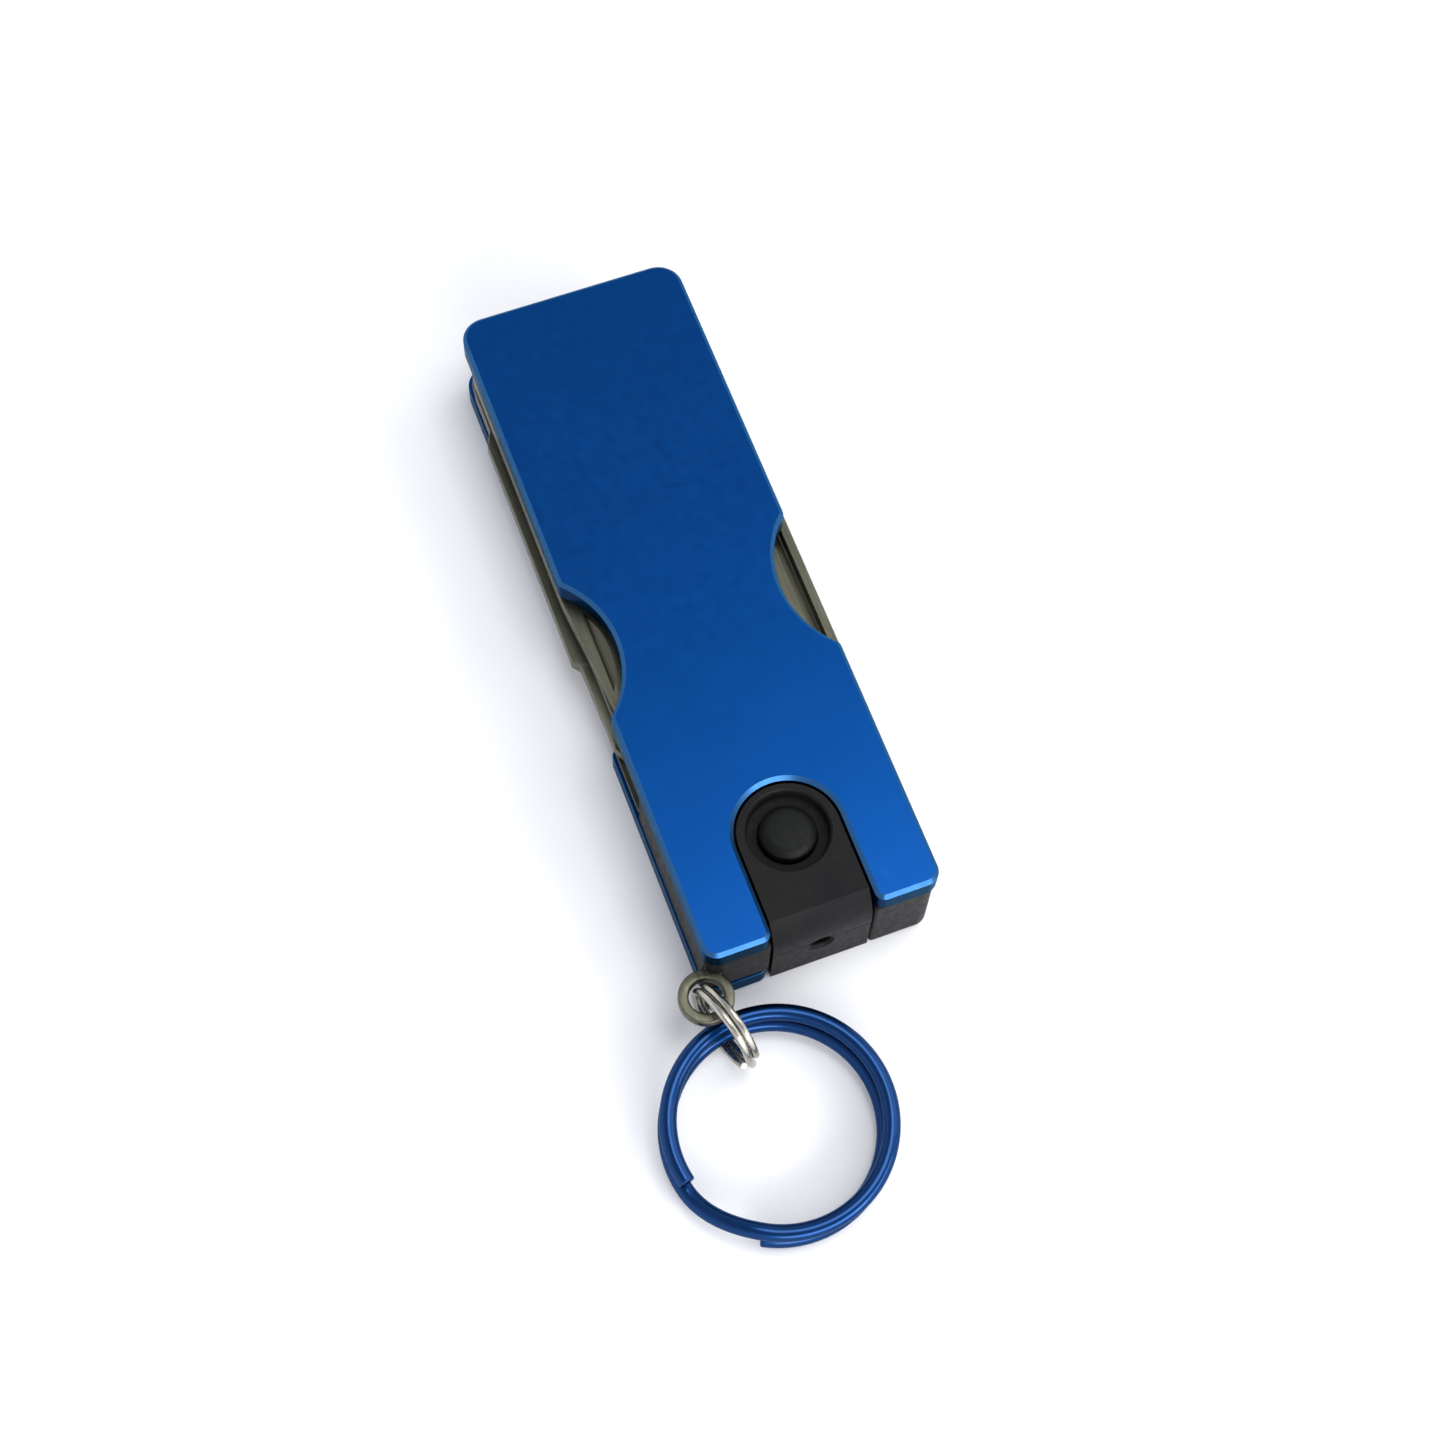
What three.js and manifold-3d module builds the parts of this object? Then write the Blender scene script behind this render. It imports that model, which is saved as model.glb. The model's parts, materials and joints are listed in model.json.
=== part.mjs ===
// Keychain flashlight: a two-layer folding tool with an LED module in its near end,
// a lug, a small link ring and a blue split key ring. Millimetres, +Z up, +Y towards
// the far end. The origin is the middle of the body's underside.
import * as THREE from 'three';
import { mergeVertices } from 'three/addons/utils/BufferGeometryUtils.js';
import Module from 'manifold-3d';

const wasm = await Module();
wasm.setup();

// Body
const HALF_WIDTH = 11;
const HALF_LENGTH = 34;
const BODY_HEIGHT = 11;
const MIDDLE = BODY_HEIGHT / 2;
const SCALE_THICKNESS = 2.4;
const SEAT_GAP = 0.05;
const LINER_THICKNESS = 0.5;
const TOOL_THICKNESS = 1.6;
const TOOL_PLAY = 0.2;
const EDGE_BEVEL = 0.55;

// Scale outline
const FAR_CORNER = 2.4;
const NEAR_CORNER = 1.4;
const TAB_CORNER = 0.9;
const MODULE_Y = -24.94;
const U_RADIUS = 4.9;
const U_CENTRE_Y = -25.2;
const SHORT_TAB_Y = -31.25;
const NOTCH_Y = -2.6;
const NOTCH_DEPTH = 3;
const NOTCH_HALF_CHORD = 7;
const NOTCH_RADIUS = (NOTCH_HALF_CHORD ** 2 + NOTCH_DEPTH ** 2) / (2 * NOTCH_DEPTH);
const NOTCH_CENTRE_X = HALF_WIDTH - NOTCH_DEPTH + NOTCH_RADIUS;

// Layers, from the bottom up
const LOWER_LINER_Z = SCALE_THICKNESS + SEAT_GAP;
const LOWER_TOOL_Z = LOWER_LINER_Z + LINER_THICKNESS + TOOL_PLAY;
const PLATE_BOTTOM = LOWER_TOOL_Z + TOOL_THICKNESS + TOOL_PLAY;
const PLATE_TOP = BODY_HEIGHT - PLATE_BOTTOM;
const UPPER_TOOL_Z = PLATE_TOP + TOOL_PLAY;
const UPPER_LINER_Z = UPPER_TOOL_Z + TOOL_THICKNESS + TOOL_PLAY;
const SLOT_PLAY = 0.12;

// Pins and the tool bay
const PIVOT_X = 6.7;
const PIVOT_Y = 29.5;
const PIVOT_RADIUS = 1.25;
const RUNNING_CLEARANCE = 0.05;
const TANG_HALF_WIDTH = 4.2;
const SPREAD = 11.6;
const BLOCK_PIN_X = 8;
const BLOCK_PIN_Y = -25;
const SPRING_PIN_Y = -13;
const SMALL_PIN_RADIUS = 1;
const PIN_POCKET_DEPTH = 1.2;
const BAY_NEAR_Y = -15.9;

// LED module
const POD_HALF_WIDTH = 4.65;
const POD_FRONT_Y = -33.9;
const POD_BACK_Y = -16.3;
const POD_TOP = 10.6;
const POD_BOTTOM = 0.2;
const NOSE_RIDGE_Y = -32.4;
const NOSE_VERTICAL_Z = 6.3;
const LED_Z = 4.7;
const LED_RADIUS = 1.5;
const LED_HOLE_RADIUS = 1;
const LED_BACK_Y = -29.5;
const LED_FRONT_Y = -33.35;
const LEAD_Y = -28.8;
const LEAD_HALF_WIDTH = 0.25;
const UPPER_LEAD_END = 6.6;
const LEAD_SLOT_TOP = 7.5;
const CELL_RADIUS = 3.4;
const CELL_HEIGHT = 2.6;
const CELL_BOTTOM = 1.35;
const CAVITY_RADIUS = 3.55;
const CAP_RADIUS = 3.7;
const CAP_TOP = 1.05;
const RECESS_RADIUS = 3.75;
const RECESS_FLOOR = 9.1;
const BUTTON_RADIUS = 2.6;
const BUTTON_TOP = 10.7;
const BUTTON_FLANGE_RADIUS = 3.1;
const BUTTON_FLANGE_Z = 7.7;
const BLOCK_HALF_WIDTH = 10.85;
const BLOCK_INNER_X = 4.85;
const BLOCK_FRONT_Y = -33.9;
const BLOCK_CORNER = 1.5;
const FOOT_BOTTOM = 0.2;

// Lug and rings
const LUG = new THREE.Vector2(-11.45, -35.35);
const LUG_RADIUS = 2.5;
const LUG_HOLE_RADIUS = 1.55;
const LINK_RADIUS = 3.95;
const LINK_WIRE = 0.7;
const LINK_HEADING = new THREE.Vector2(0.28, -0.96).normalize();
const LINK_SEAT = 0.92;
const LINK_START = -35;
const LINK_GAP = 50;
const LINK_CENTRE_Z = LINK_RADIUS + LINK_WIRE / 2 + 0.02;
const KEY_CENTRE = new THREE.Vector2(-9.2, -47.3);
const KEY_RADIUS = 9.62;
const KEY_WIRE = 1.6;
const KEY_RISE = KEY_WIRE + 0.03;
const KEY_GROWTH = 0.15;
const KEY_SHIFT = new THREE.Vector2(0.35, 0.24);
const KEY_LIFT = 0.95;
const KEY_START = 194;
const KEY_GAP = 47;

const ROUND_SEGMENTS = 32;

// ---- materials ---------------------------------------------------------------

function material(color, roughness, metalness) {
  return new THREE.MeshStandardMaterial({ color, roughness, metalness });
}

const blueAnodised = () => material(0x0b4a9e, 0.35, 0.9);
const blueWire = () => material(0x12409a, 0.18, 0.9);
const steel = () => material(0xb4b2a2, 0.32, 1);
const brightSteel = () => material(0xd0cec8, 0.15, 1);
const blackPlastic = () => material(0x262729, 0.5, 0);
const blackRubber = () => material(0x1c1d1e, 0.6, 0);
const clearLens = () => material(0xdfe6e0, 0.08, 0);
const brass = () => material(0xc9a550, 0.3, 1);

// ---- geometry helpers ----------------------------------------------------------

function toSolid(geometry) {
  const bare = geometry.clone();
  bare.deleteAttribute('normal');
  bare.deleteAttribute('uv');
  const merged = mergeVertices(bare, 1e-4);
  return new wasm.Manifold(new wasm.Mesh({
    numProp: 3,
    vertProperties: new Float32Array(merged.attributes.position.array),
    triVerts: new Uint32Array(merged.index.array),
  }));
}

function toGeometry(solid) {
  const mesh = solid.getMesh();
  const geometry = new THREE.BufferGeometry();
  geometry.setAttribute('position', new THREE.BufferAttribute(new Float32Array(mesh.vertProperties), 3));
  geometry.setIndex(new THREE.BufferAttribute(new Uint32Array(mesh.triVerts), 1));
  geometry.computeVertexNormals();
  return geometry;
}

function join(...geometries) {
  return toGeometry(geometries.map(toSolid).reduce((whole, piece) => whole.add(piece)));
}

function cut(geometry, ...cutters) {
  return toGeometry(cutters.map(toSolid).reduce((left, cutter) => left.subtract(cutter), toSolid(geometry)));
}

function keepInside(geometry, limit) {
  return toGeometry(toSolid(geometry).intersect(toSolid(limit)));
}

function extrude(shape, bottom, top) {
  const geometry = new THREE.ExtrudeGeometry(shape, { depth: top - bottom, bevelEnabled: false });
  return geometry.translate(0, 0, bottom);
}

function box(x0, x1, y0, y1, z0, z1) {
  const geometry = new THREE.BoxGeometry(x1 - x0, y1 - y0, z1 - z0);
  return geometry.translate((x0 + x1) / 2, (y0 + y1) / 2, (z0 + z1) / 2);
}

function cylinder(x, y, radius, bottom, top, segments = ROUND_SEGMENTS) {
  const geometry = new THREE.CylinderGeometry(radius, radius, top - bottom, segments);
  return geometry.rotateX(Math.PI / 2).translate(x, y, (bottom + top) / 2);
}

function cylinderAlongY(x, z, radius, y0, y1, segments = ROUND_SEGMENTS) {
  const geometry = new THREE.CylinderGeometry(radius, radius, y1 - y0, segments);
  return geometry.translate(x, (y0 + y1) / 2, z);
}

// Points on an arc from one angle to another; small arcs get fewer of them.
function arc(centreX, centreY, radius, start, end) {
  const stepAngle = radius > 2 ? Math.PI / 14 : Math.PI / 6;
  const steps = Math.max(2, Math.ceil(Math.abs(end - start) / stepAngle * Math.min(1, 0.5 + radius / 8)));
  return Array.from({ length: steps + 1 }, (_, step) => {
    const angle = start + (end - start) * step / steps;
    return new THREE.Vector2(centreX + radius * Math.cos(angle), centreY + radius * Math.sin(angle));
  });
}

// The points that replace one [x, y, radius] corner of an outline.
function roundCorner([x, y, radius], index, corners) {
  const corner = new THREE.Vector2(x, y);
  if (!radius) return [corner];
  const previous = corners.at(index - 1);
  const next = corners[(index + 1) % corners.length];
  const back = new THREE.Vector2(previous[0] - x, previous[1] - y).normalize();
  const ahead = new THREE.Vector2(next[0] - x, next[1] - y).normalize();
  const halfAngle = Math.acos(THREE.MathUtils.clamp(back.dot(ahead), -1, 1)) / 2;
  const toCentre = back.clone().add(ahead).normalize().multiplyScalar(radius / Math.sin(halfAngle));
  const centre = corner.clone().add(toCentre);
  const reach = radius / Math.tan(halfAngle);
  const start = corner.clone().addScaledVector(back, reach).sub(centre).angle();
  const sweep = (Math.PI - 2 * halfAngle) * (back.cross(ahead) > 0 ? -1 : 1);
  return arc(centre.x, centre.y, radius, start, start + sweep);
}

function roundedShape(corners) {
  return new THREE.Shape(corners.flatMap(roundCorner));
}

function mirrored(corners) {
  return corners.map(([x, y, radius]) => [-x, y, radius]).reverse();
}

function quarters(count) {
  return count * Math.PI / 2;
}

// Both long sides carry a thumb notch: a shallow circular bite at mid length.
function sideNotch(side, halfWidth, radius) {
  const reach = Math.acos((NOTCH_CENTRE_X - halfWidth) / radius);
  const facing = side < 0 ? 0 : Math.PI;
  return arc(side * NOTCH_CENTRE_X, NOTCH_Y, radius, facing + reach, facing - reach);
}

// ---- scales, liners, centre plate -----------------------------------------------

// The near end has a tab each side of the U; the right one can be cut short.
function scaleOutline(rightTabFront) {
  const farX = HALF_WIDTH - FAR_CORNER;
  const farY = HALF_LENGTH - FAR_CORNER;
  const nearX = HALF_WIDTH - NEAR_CORNER;
  const nearY = NEAR_CORNER - HALF_LENGTH;
  const rightNearY = NEAR_CORNER + rightTabFront;
  const tabX = U_RADIUS + TAB_CORNER;
  const tabY = TAB_CORNER - HALF_LENGTH;
  const rightTabY = TAB_CORNER + rightTabFront;
  return new THREE.Shape([
    ...arc(farX, farY, FAR_CORNER, quarters(0), quarters(1)),
    ...arc(-farX, farY, FAR_CORNER, quarters(1), quarters(2)),
    ...sideNotch(-1, HALF_WIDTH, NOTCH_RADIUS),
    ...arc(-nearX, nearY, NEAR_CORNER, quarters(2), quarters(3)),
    ...arc(-tabX, tabY, TAB_CORNER, quarters(3), quarters(4)),
    ...arc(0, U_CENTRE_Y, U_RADIUS, quarters(2), quarters(0)),
    ...arc(tabX, rightTabY, TAB_CORNER, quarters(2), quarters(3)),
    ...arc(nearX, rightNearY, NEAR_CORNER, quarters(3), quarters(4)),
    ...sideNotch(1, HALF_WIDTH, NOTCH_RADIUS),
  ]);
}

const PIN_PLACES = [
  [-PIVOT_X, PIVOT_Y, PIVOT_RADIUS],
  [PIVOT_X, PIVOT_Y, PIVOT_RADIUS],
  [-BLOCK_PIN_X, BLOCK_PIN_Y, SMALL_PIN_RADIUS],
  [BLOCK_PIN_X, BLOCK_PIN_Y, SMALL_PIN_RADIUS],
  [0, SPRING_PIN_Y, SMALL_PIN_RADIUS],
];

function pinHoles(bottom, top, clearance = SEAT_GAP) {
  return PIN_PLACES.map(([x, y, radius]) => cylinder(x, y, radius + clearance, bottom, top));
}

// The scale lies on z = 0 with its flat, pocketed side up.
function scale(rightTabFront) {
  const options = {
    depth: SCALE_THICKNESS,
    bevelThickness: EDGE_BEVEL,
    bevelSize: EDGE_BEVEL,
    bevelOffset: -EDGE_BEVEL,
    bevelSegments: 2,
  };
  const outline = scaleOutline(rightTabFront);
  const slab = new THREE.ExtrudeGeometry(outline, options).translate(0, 0, EDGE_BEVEL);
  const margin = 1;
  const limitX = HALF_WIDTH + margin;
  const limitY = HALF_LENGTH + margin;
  const limit = box(-limitX, limitX, -limitY, limitY, -margin, SCALE_THICKNESS);
  const pockets = pinHoles(SCALE_THICKNESS - PIN_POCKET_DEPTH, SCALE_THICKNESS + margin);
  return cut(keepInside(slab, limit), ...pockets);
}

function upperScale() {
  return scale(-HALF_LENGTH).rotateY(Math.PI).translate(0, 0, BODY_HEIGHT);
}

function lowerScale() {
  return scale(SHORT_TAB_Y);
}

function linerOutline() {
  const inset = 0.3;
  const halfWidth = HALF_WIDTH - inset;
  const cornerX = halfWidth - FAR_CORNER;
  const cornerY = HALF_LENGTH - inset - FAR_CORNER;
  return new THREE.Shape([
    ...arc(cornerX, cornerY, FAR_CORNER, quarters(0), quarters(1)),
    ...arc(-cornerX, cornerY, FAR_CORNER, quarters(1), quarters(2)),
    ...sideNotch(-1, halfWidth, NOTCH_RADIUS + inset),
    new THREE.Vector2(-halfWidth, BAY_NEAR_Y),
    new THREE.Vector2(halfWidth, BAY_NEAR_Y),
    ...sideNotch(1, halfWidth, NOTCH_RADIUS + inset),
  ]);
}

function liner(bottom) {
  const top = bottom + LINER_THICKNESS;
  return cut(extrude(linerOutline(), bottom, top), ...pinHoles(bottom - 1, top + 1));
}

// The plate's two arms grip the near-end blocks; the left one ends in the round lug.
function plateArms(margin, bottom, top) {
  const outerX = 9.6 + margin;
  const innerX = 6.4 - margin;
  const armEndY = -29.8;
  const rootY = BAY_NEAR_Y + 0.5;
  const neckX = -10.7 - margin;
  const neck = roundedShape([
    [-outerX, armEndY + 1, 0],
    [neckX, -32, 0],
    [neckX, LUG.y, 0],
    [LUG.x + 1.9, LUG.y + 1.2 - margin, 0],
    [-innerX, -31.5 - margin, 0],
    [-innerX, armEndY + 1, 0],
  ]);
  return [
    box(-outerX, -innerX, armEndY, rootY, bottom, top),
    box(innerX, outerX, armEndY, rootY, bottom, top),
    extrude(neck, bottom, top),
    cylinder(LUG.x, LUG.y, LUG_RADIUS + margin, bottom, top, 40),
  ];
}

function centrePlate() {
  const leftX = -10.2;
  const rightX = 10.9;
  const farY = HALF_LENGTH - 0.3;
  const main = roundedShape([
    [rightX, farY, FAR_CORNER],
    [leftX, farY, FAR_CORNER],
    [leftX, BAY_NEAR_Y, 0],
    [rightX, BAY_NEAR_Y, 0],
  ]);
  const blank = join(extrude(main, PLATE_BOTTOM, PLATE_TOP), ...plateArms(0, PLATE_BOTTOM, PLATE_TOP));
  const lugHole = cylinder(LUG.x, LUG.y, LUG_HOLE_RADIUS, 0, BODY_HEIGHT);
  return cut(blank, lugHole, ...pinHoles(0, BODY_HEIGHT));
}

// ---- springs and pins -------------------------------------------------------------

// A tuning-fork leaf between the two tangs of a layer.
function backSpring(bottom) {
  const halfWidth = 1.9;
  const slotHalfWidth = 1.15;
  const top = bottom + TOOL_THICKNESS;
  const bar = box(-halfWidth, halfWidth, BAY_NEAR_Y + 0.2, HALF_LENGTH - 0.5, bottom, top);
  const slot = roundedShape([
    [slotHalfWidth, HALF_LENGTH + 1, 0],
    [-slotHalfWidth, HALF_LENGTH + 1, 0],
    [-slotHalfWidth, 8, slotHalfWidth - 0.01],
    [slotHalfWidth, 8, slotHalfWidth - 0.01],
  ]);
  const pinHole = cylinder(0, SPRING_PIN_Y, SMALL_PIN_RADIUS + SEAT_GAP, 0, BODY_HEIGHT);
  return cut(bar, extrude(slot, bottom - 1, top + 1), pinHole);
}

function pin(x, y, radius) {
  const endGap = 0.1;
  const bottom = SCALE_THICKNESS - PIN_POCKET_DEPTH + endGap;
  return cylinder(x, y, radius, bottom, BODY_HEIGHT - bottom);
}

// ---- folding tools, drawn closed on the left side ------------------------------------

const TANG_ROUND = TANG_HALF_WIDTH - 0.05;
const TANG_END = [
  [-PIVOT_X + TANG_HALF_WIDTH, PIVOT_Y + TANG_HALF_WIDTH, TANG_ROUND],
  [-PIVOT_X - TANG_HALF_WIDTH, PIVOT_Y + TANG_HALF_WIDTH, TANG_ROUND],
];

const KNIFE_OUTLINE = [
  ...TANG_END,
  [-10.9, 4.1, 30],
  [-9.7, -9.5, 25],
  [-8.7, -15.5, 0.3],
  [-2.6, -7.5, 9],
  [-2.6, 19.6, 0.3],
  [-3.5, 20.4, 0.4],
  [-3.5, 21.6, 0.4],
  [-2.5, 22.4, 0.3],
];

const OPENER_OUTLINE = [
  ...TANG_END,
  [-10.9, 25.5, 0.5],
  [-SPREAD, 24, 0.5],
  [-SPREAD, -0.3, 0.2],
  [-11, -1.1, 0.4],
  [-10.8, -10, 1.5],
  [-9.3, -12.6, 1],
  [-3.4, -12.6, 0.8],
  [-2.7, -9.2, 0.3],
  [-5.2, -8.8, 0.6],
  [-6.4, -6.6, 1.2],
  [-5.0, -3.8, 1.2],
  [-2.6, -2.6, 0.5],
];

const FILE_OUTLINE = mirrored([
  ...TANG_END,
  [-10.9, 25.5, 0.5],
  [-SPREAD, 24, 0.5],
  [-SPREAD, -10.4, 0.8],
  [-9.4, -12.4, 0.8],
  [-9.0, -15.6, 0.2],
  [-4.6, -15.6, 0.2],
  [-4.2, -12.2, 0.8],
  [-2.6, -10, 0.8],
]);

const DRIVER_OUTLINE = mirrored([
  ...TANG_END,
  [-10.9, -8.4, 1],
  [-9.3, -10.4, 0.8],
  [-9.3, -13.4, 0.3],
  [-7.9, -15.4, 0.2],
  [-7.1, -15.4, 0.2],
  [-5.7, -13.4, 0.3],
  [-5.7, 10.5, 1],
  [-2.6, 14.5, 1],
]);

// Half-moon nail nick: straight towards the outer edge, bowed inwards.
function nailNick(side, outerX, middleY, halfLength, depth, z0, z1) {
  const radius = (halfLength ** 2 + depth ** 2) / (2 * depth);
  const reach = Math.asin(halfLength / radius);
  const bow = arc(-outerX + depth - radius, middleY, radius, -reach, reach);
  const cutter = extrude(new THREE.Shape(bow), z0, z1);
  return side < 0 ? cutter : cutter.rotateZ(Math.PI).translate(0, 2 * middleY, 0);
}

function tool(outline, side, bottom, ...cutters) {
  const hole = cylinder(side * PIVOT_X, PIVOT_Y, PIVOT_RADIUS + RUNNING_CLEARANCE, 0, BODY_HEIGHT);
  return cut(extrude(roundedShape(outline), bottom, bottom + TOOL_THICKNESS), hole, ...cutters);
}

function knife() {
  const top = UPPER_TOOL_Z + TOOL_THICKNESS;
  return tool(KNIFE_OUTLINE, -1, UPPER_TOOL_Z, nailNick(-1, 9.45, -1.75, 4.3, 1.15, top - 0.5, top + 1));
}

function nailFile() {
  const slot = roundedShape([
    [10.75, 6.6, 0.5],
    [9.7, 6.6, 0.5],
    [9.7, -9.2, 0.5],
    [10.75, -9.2, 0.5],
  ]);
  return tool(FILE_OUTLINE, 1, UPPER_TOOL_Z, extrude(slot, 0, BODY_HEIGHT));
}

function bottleOpener() {
  const nick = nailNick(-1, 9.4, -5.6, 3.2, 1, LOWER_TOOL_Z - 1, LOWER_TOOL_Z + 0.5);
  return tool(OPENER_OUTLINE, -1, LOWER_TOOL_Z, nick);
}

function crossDriver() {
  const nick = nailNick(1, 9.9, -2.6, 4.3, 1.1, LOWER_TOOL_Z - 1, LOWER_TOOL_Z + 0.5);
  return tool(DRIVER_OUTLINE, 1, LOWER_TOOL_Z, nick);
}

// ---- LED module ------------------------------------------------------------------------

// The right block reaches down in front of the bottom scale's short tab.
function blockFoot(outline, top) {
  const room = box(0, HALF_WIDTH, -HALF_LENGTH, SHORT_TAB_Y - SEAT_GAP, 0, BODY_HEIGHT);
  return keepInside(extrude(outline, FOOT_BOTTOM, top), room);
}

function sideBlock(side) {
  const corners = [
    [-BLOCK_INNER_X, POD_BACK_Y, 0],
    [-BLOCK_HALF_WIDTH, POD_BACK_Y, 0],
    [-BLOCK_HALF_WIDTH, BLOCK_FRONT_Y, BLOCK_CORNER],
    [-BLOCK_INNER_X, BLOCK_FRONT_Y, 0],
  ];
  const outline = roundedShape(side < 0 ? corners : mirrored(corners));
  const bottom = SCALE_THICKNESS + SEAT_GAP;
  const tall = extrude(outline, bottom, BODY_HEIGHT - bottom);
  const block = side < 0 ? tall : join(tall, blockFoot(outline, bottom + SEAT_GAP));
  const slots = plateArms(SLOT_PLAY, PLATE_BOTTOM - SLOT_PLAY, PLATE_TOP + SLOT_PLAY);
  return cut(block, join(...slots), ...pinHoles(0, BODY_HEIGHT));
}

// The pod's side profile: a vertical front below, leaning back to a ridge at the top.
function noseLimit() {
  const rise = POD_TOP - NOSE_VERTICAL_Z;
  const lean = NOSE_RIDGE_Y - POD_FRONT_Y;
  const radius = (rise ** 2 + lean ** 2) / (2 * lean);
  const sweep = Math.asin(rise / radius);
  const margin = 1;
  const profile = new THREE.Shape([
    new THREE.Vector2(POD_BACK_Y + margin, -margin),
    new THREE.Vector2(POD_BACK_Y + margin, POD_TOP),
    ...arc(POD_FRONT_Y + radius, NOSE_VERTICAL_Z, radius, Math.PI - sweep, Math.PI),
    new THREE.Vector2(POD_FRONT_Y, -margin),
  ]);
  const along = extrude(profile, -HALF_WIDTH, HALF_WIDTH);
  return along.applyMatrix4(new THREE.Matrix4().makeBasis(
    new THREE.Vector3(0, 1, 0),
    new THREE.Vector3(0, 0, 1),
    new THREE.Vector3(1, 0, 0),
  ));
}

function podBlank(bottom, top) {
  const archY = U_CENTRE_Y + POD_HALF_WIDTH;
  const arch = roundedShape([
    [POD_HALF_WIDTH, archY, POD_HALF_WIDTH - 0.01],
    [-POD_HALF_WIDTH, archY, POD_HALF_WIDTH - 0.01],
    [-POD_HALF_WIDTH, POD_FRONT_Y, 0],
    [POD_HALF_WIDTH, POD_FRONT_Y, 0],
  ]);
  const between = SCALE_THICKNESS + SEAT_GAP;
  const tailBottom = Math.max(bottom, between);
  const tailTop = Math.min(top, BODY_HEIGHT - between);
  const tail = box(-POD_HALF_WIDTH, POD_HALF_WIDTH, MODULE_Y, POD_BACK_Y, tailBottom, tailTop);
  return keepInside(join(extrude(arch, bottom, top), tail), noseLimit());
}

function ledPocket() {
  const pocketRadius = LED_RADIUS + 0.1;
  const chamber = cylinderAlongY(0, LED_Z, pocketRadius, LED_FRONT_Y - 0.05, MODULE_Y);
  const hole = cylinderAlongY(0, LED_Z, LED_HOLE_RADIUS, POD_FRONT_Y - 1, LED_FRONT_Y + 0.1);
  return join(chamber, hole);
}

function leadSlot(bottom, top) {
  return box(-0.5, 0.5, LEAD_Y - 0.4, MODULE_Y, bottom, top);
}

function podUpper() {
  const cavityTop = RECESS_FLOOR - 0.8;
  return cut(
    podBlank(MIDDLE + SEAT_GAP / 2, POD_TOP),
    cylinder(0, MODULE_Y, RECESS_RADIUS, RECESS_FLOOR, BODY_HEIGHT, 40),
    cylinder(0, MODULE_Y, BUTTON_RADIUS + 0.12, cavityTop - 0.1, BODY_HEIGHT),
    cylinder(0, MODULE_Y, CAVITY_RADIUS, 0, cavityTop),
    ledPocket(),
    leadSlot(0, LEAD_SLOT_TOP),
  );
}

function podLower() {
  return cut(
    podBlank(POD_BOTTOM, MIDDLE - SEAT_GAP / 2),
    cylinder(0, MODULE_Y, CAVITY_RADIUS, CAP_TOP, BODY_HEIGHT),
    cylinder(0, MODULE_Y, CAP_RADIUS + SEAT_GAP, 0, CAP_TOP + SEAT_GAP),
    ledPocket(),
    leadSlot(CAP_TOP, BODY_HEIGHT),
  );
}

function batteryCap() {
  const bottom = POD_BOTTOM + 0.05;
  const coinSlot = box(-2.6, 2.6, MODULE_Y - 0.5, MODULE_Y + 0.5, 0, bottom + 0.4);
  return cut(cylinder(0, MODULE_Y, CAP_RADIUS, bottom, CAP_TOP), coinSlot);
}

function lowerContact() {
  const bottom = CAP_TOP + 0.1;
  return join(
    cylinder(0, MODULE_Y, 3.2, bottom, CELL_BOTTOM - SEAT_GAP),
    box(-LEAD_HALF_WIDTH, LEAD_HALF_WIDTH, LEAD_Y - 0.2, MODULE_Y, bottom, CELL_BOTTOM - SEAT_GAP),
  );
}

function cell(bottom) {
  const top = bottom + CELL_HEIGHT;
  const rimStep = 0.3;
  return join(
    cylinder(0, MODULE_Y, CELL_RADIUS, bottom + rimStep, top),
    cylinder(0, MODULE_Y, CELL_RADIUS - 0.5, bottom, top - rimStep),
  );
}

// A sprung dish whose crown meets the button and whose rim meets the upper cell.
function contactDome(bottom) {
  const sheet = 0.15;
  const profile = [
    [0, 0.75],
    [1.2, 0.72],
    [2.4, 0.35],
    [3.0, 0],
    [3.1, sheet],
    [2.5, 0.35 + sheet],
    [1.2, 0.72 + sheet],
    [0, 0.75 + sheet],
  ].map(([radius, height]) => new THREE.Vector2(radius, height));
  const dome = new THREE.LatheGeometry(profile, ROUND_SEGMENTS);
  return dome.rotateX(Math.PI / 2).translate(0, MODULE_Y, bottom);
}

function led() {
  const length = LED_BACK_Y - LED_FRONT_Y;
  const profile = [
    [0, 0],
    [LED_RADIUS, 0],
    [LED_RADIUS, length - 1.1],
    [LED_RADIUS * 0.92, length - 0.6],
    [LED_RADIUS * 0.7, length - 0.22],
    [LED_RADIUS * 0.38, length - 0.05],
    [0, length],
  ].map(([radius, along]) => new THREE.Vector2(radius, along));
  const lens = new THREE.LatheGeometry(profile, 24);
  return lens.rotateZ(Math.PI).translate(0, LED_BACK_Y, LED_Z);
}

// A lead leaves the LED's back and bends to z, up to one contact or down to the other.
function ledLead(side, endZ) {
  const z = LED_Z + side * 0.7;
  const behind = LED_BACK_Y + SEAT_GAP;
  const front = LEAD_Y - LEAD_HALF_WIDTH;
  const back = LEAD_Y + LEAD_HALF_WIDTH;
  return join(
    box(-LEAD_HALF_WIDTH, LEAD_HALF_WIDTH, behind, back, z - 0.2, z + 0.2),
    box(-LEAD_HALF_WIDTH, LEAD_HALF_WIDTH, front, back, Math.min(z, endZ), Math.max(z, endZ)),
  );
}

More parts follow.
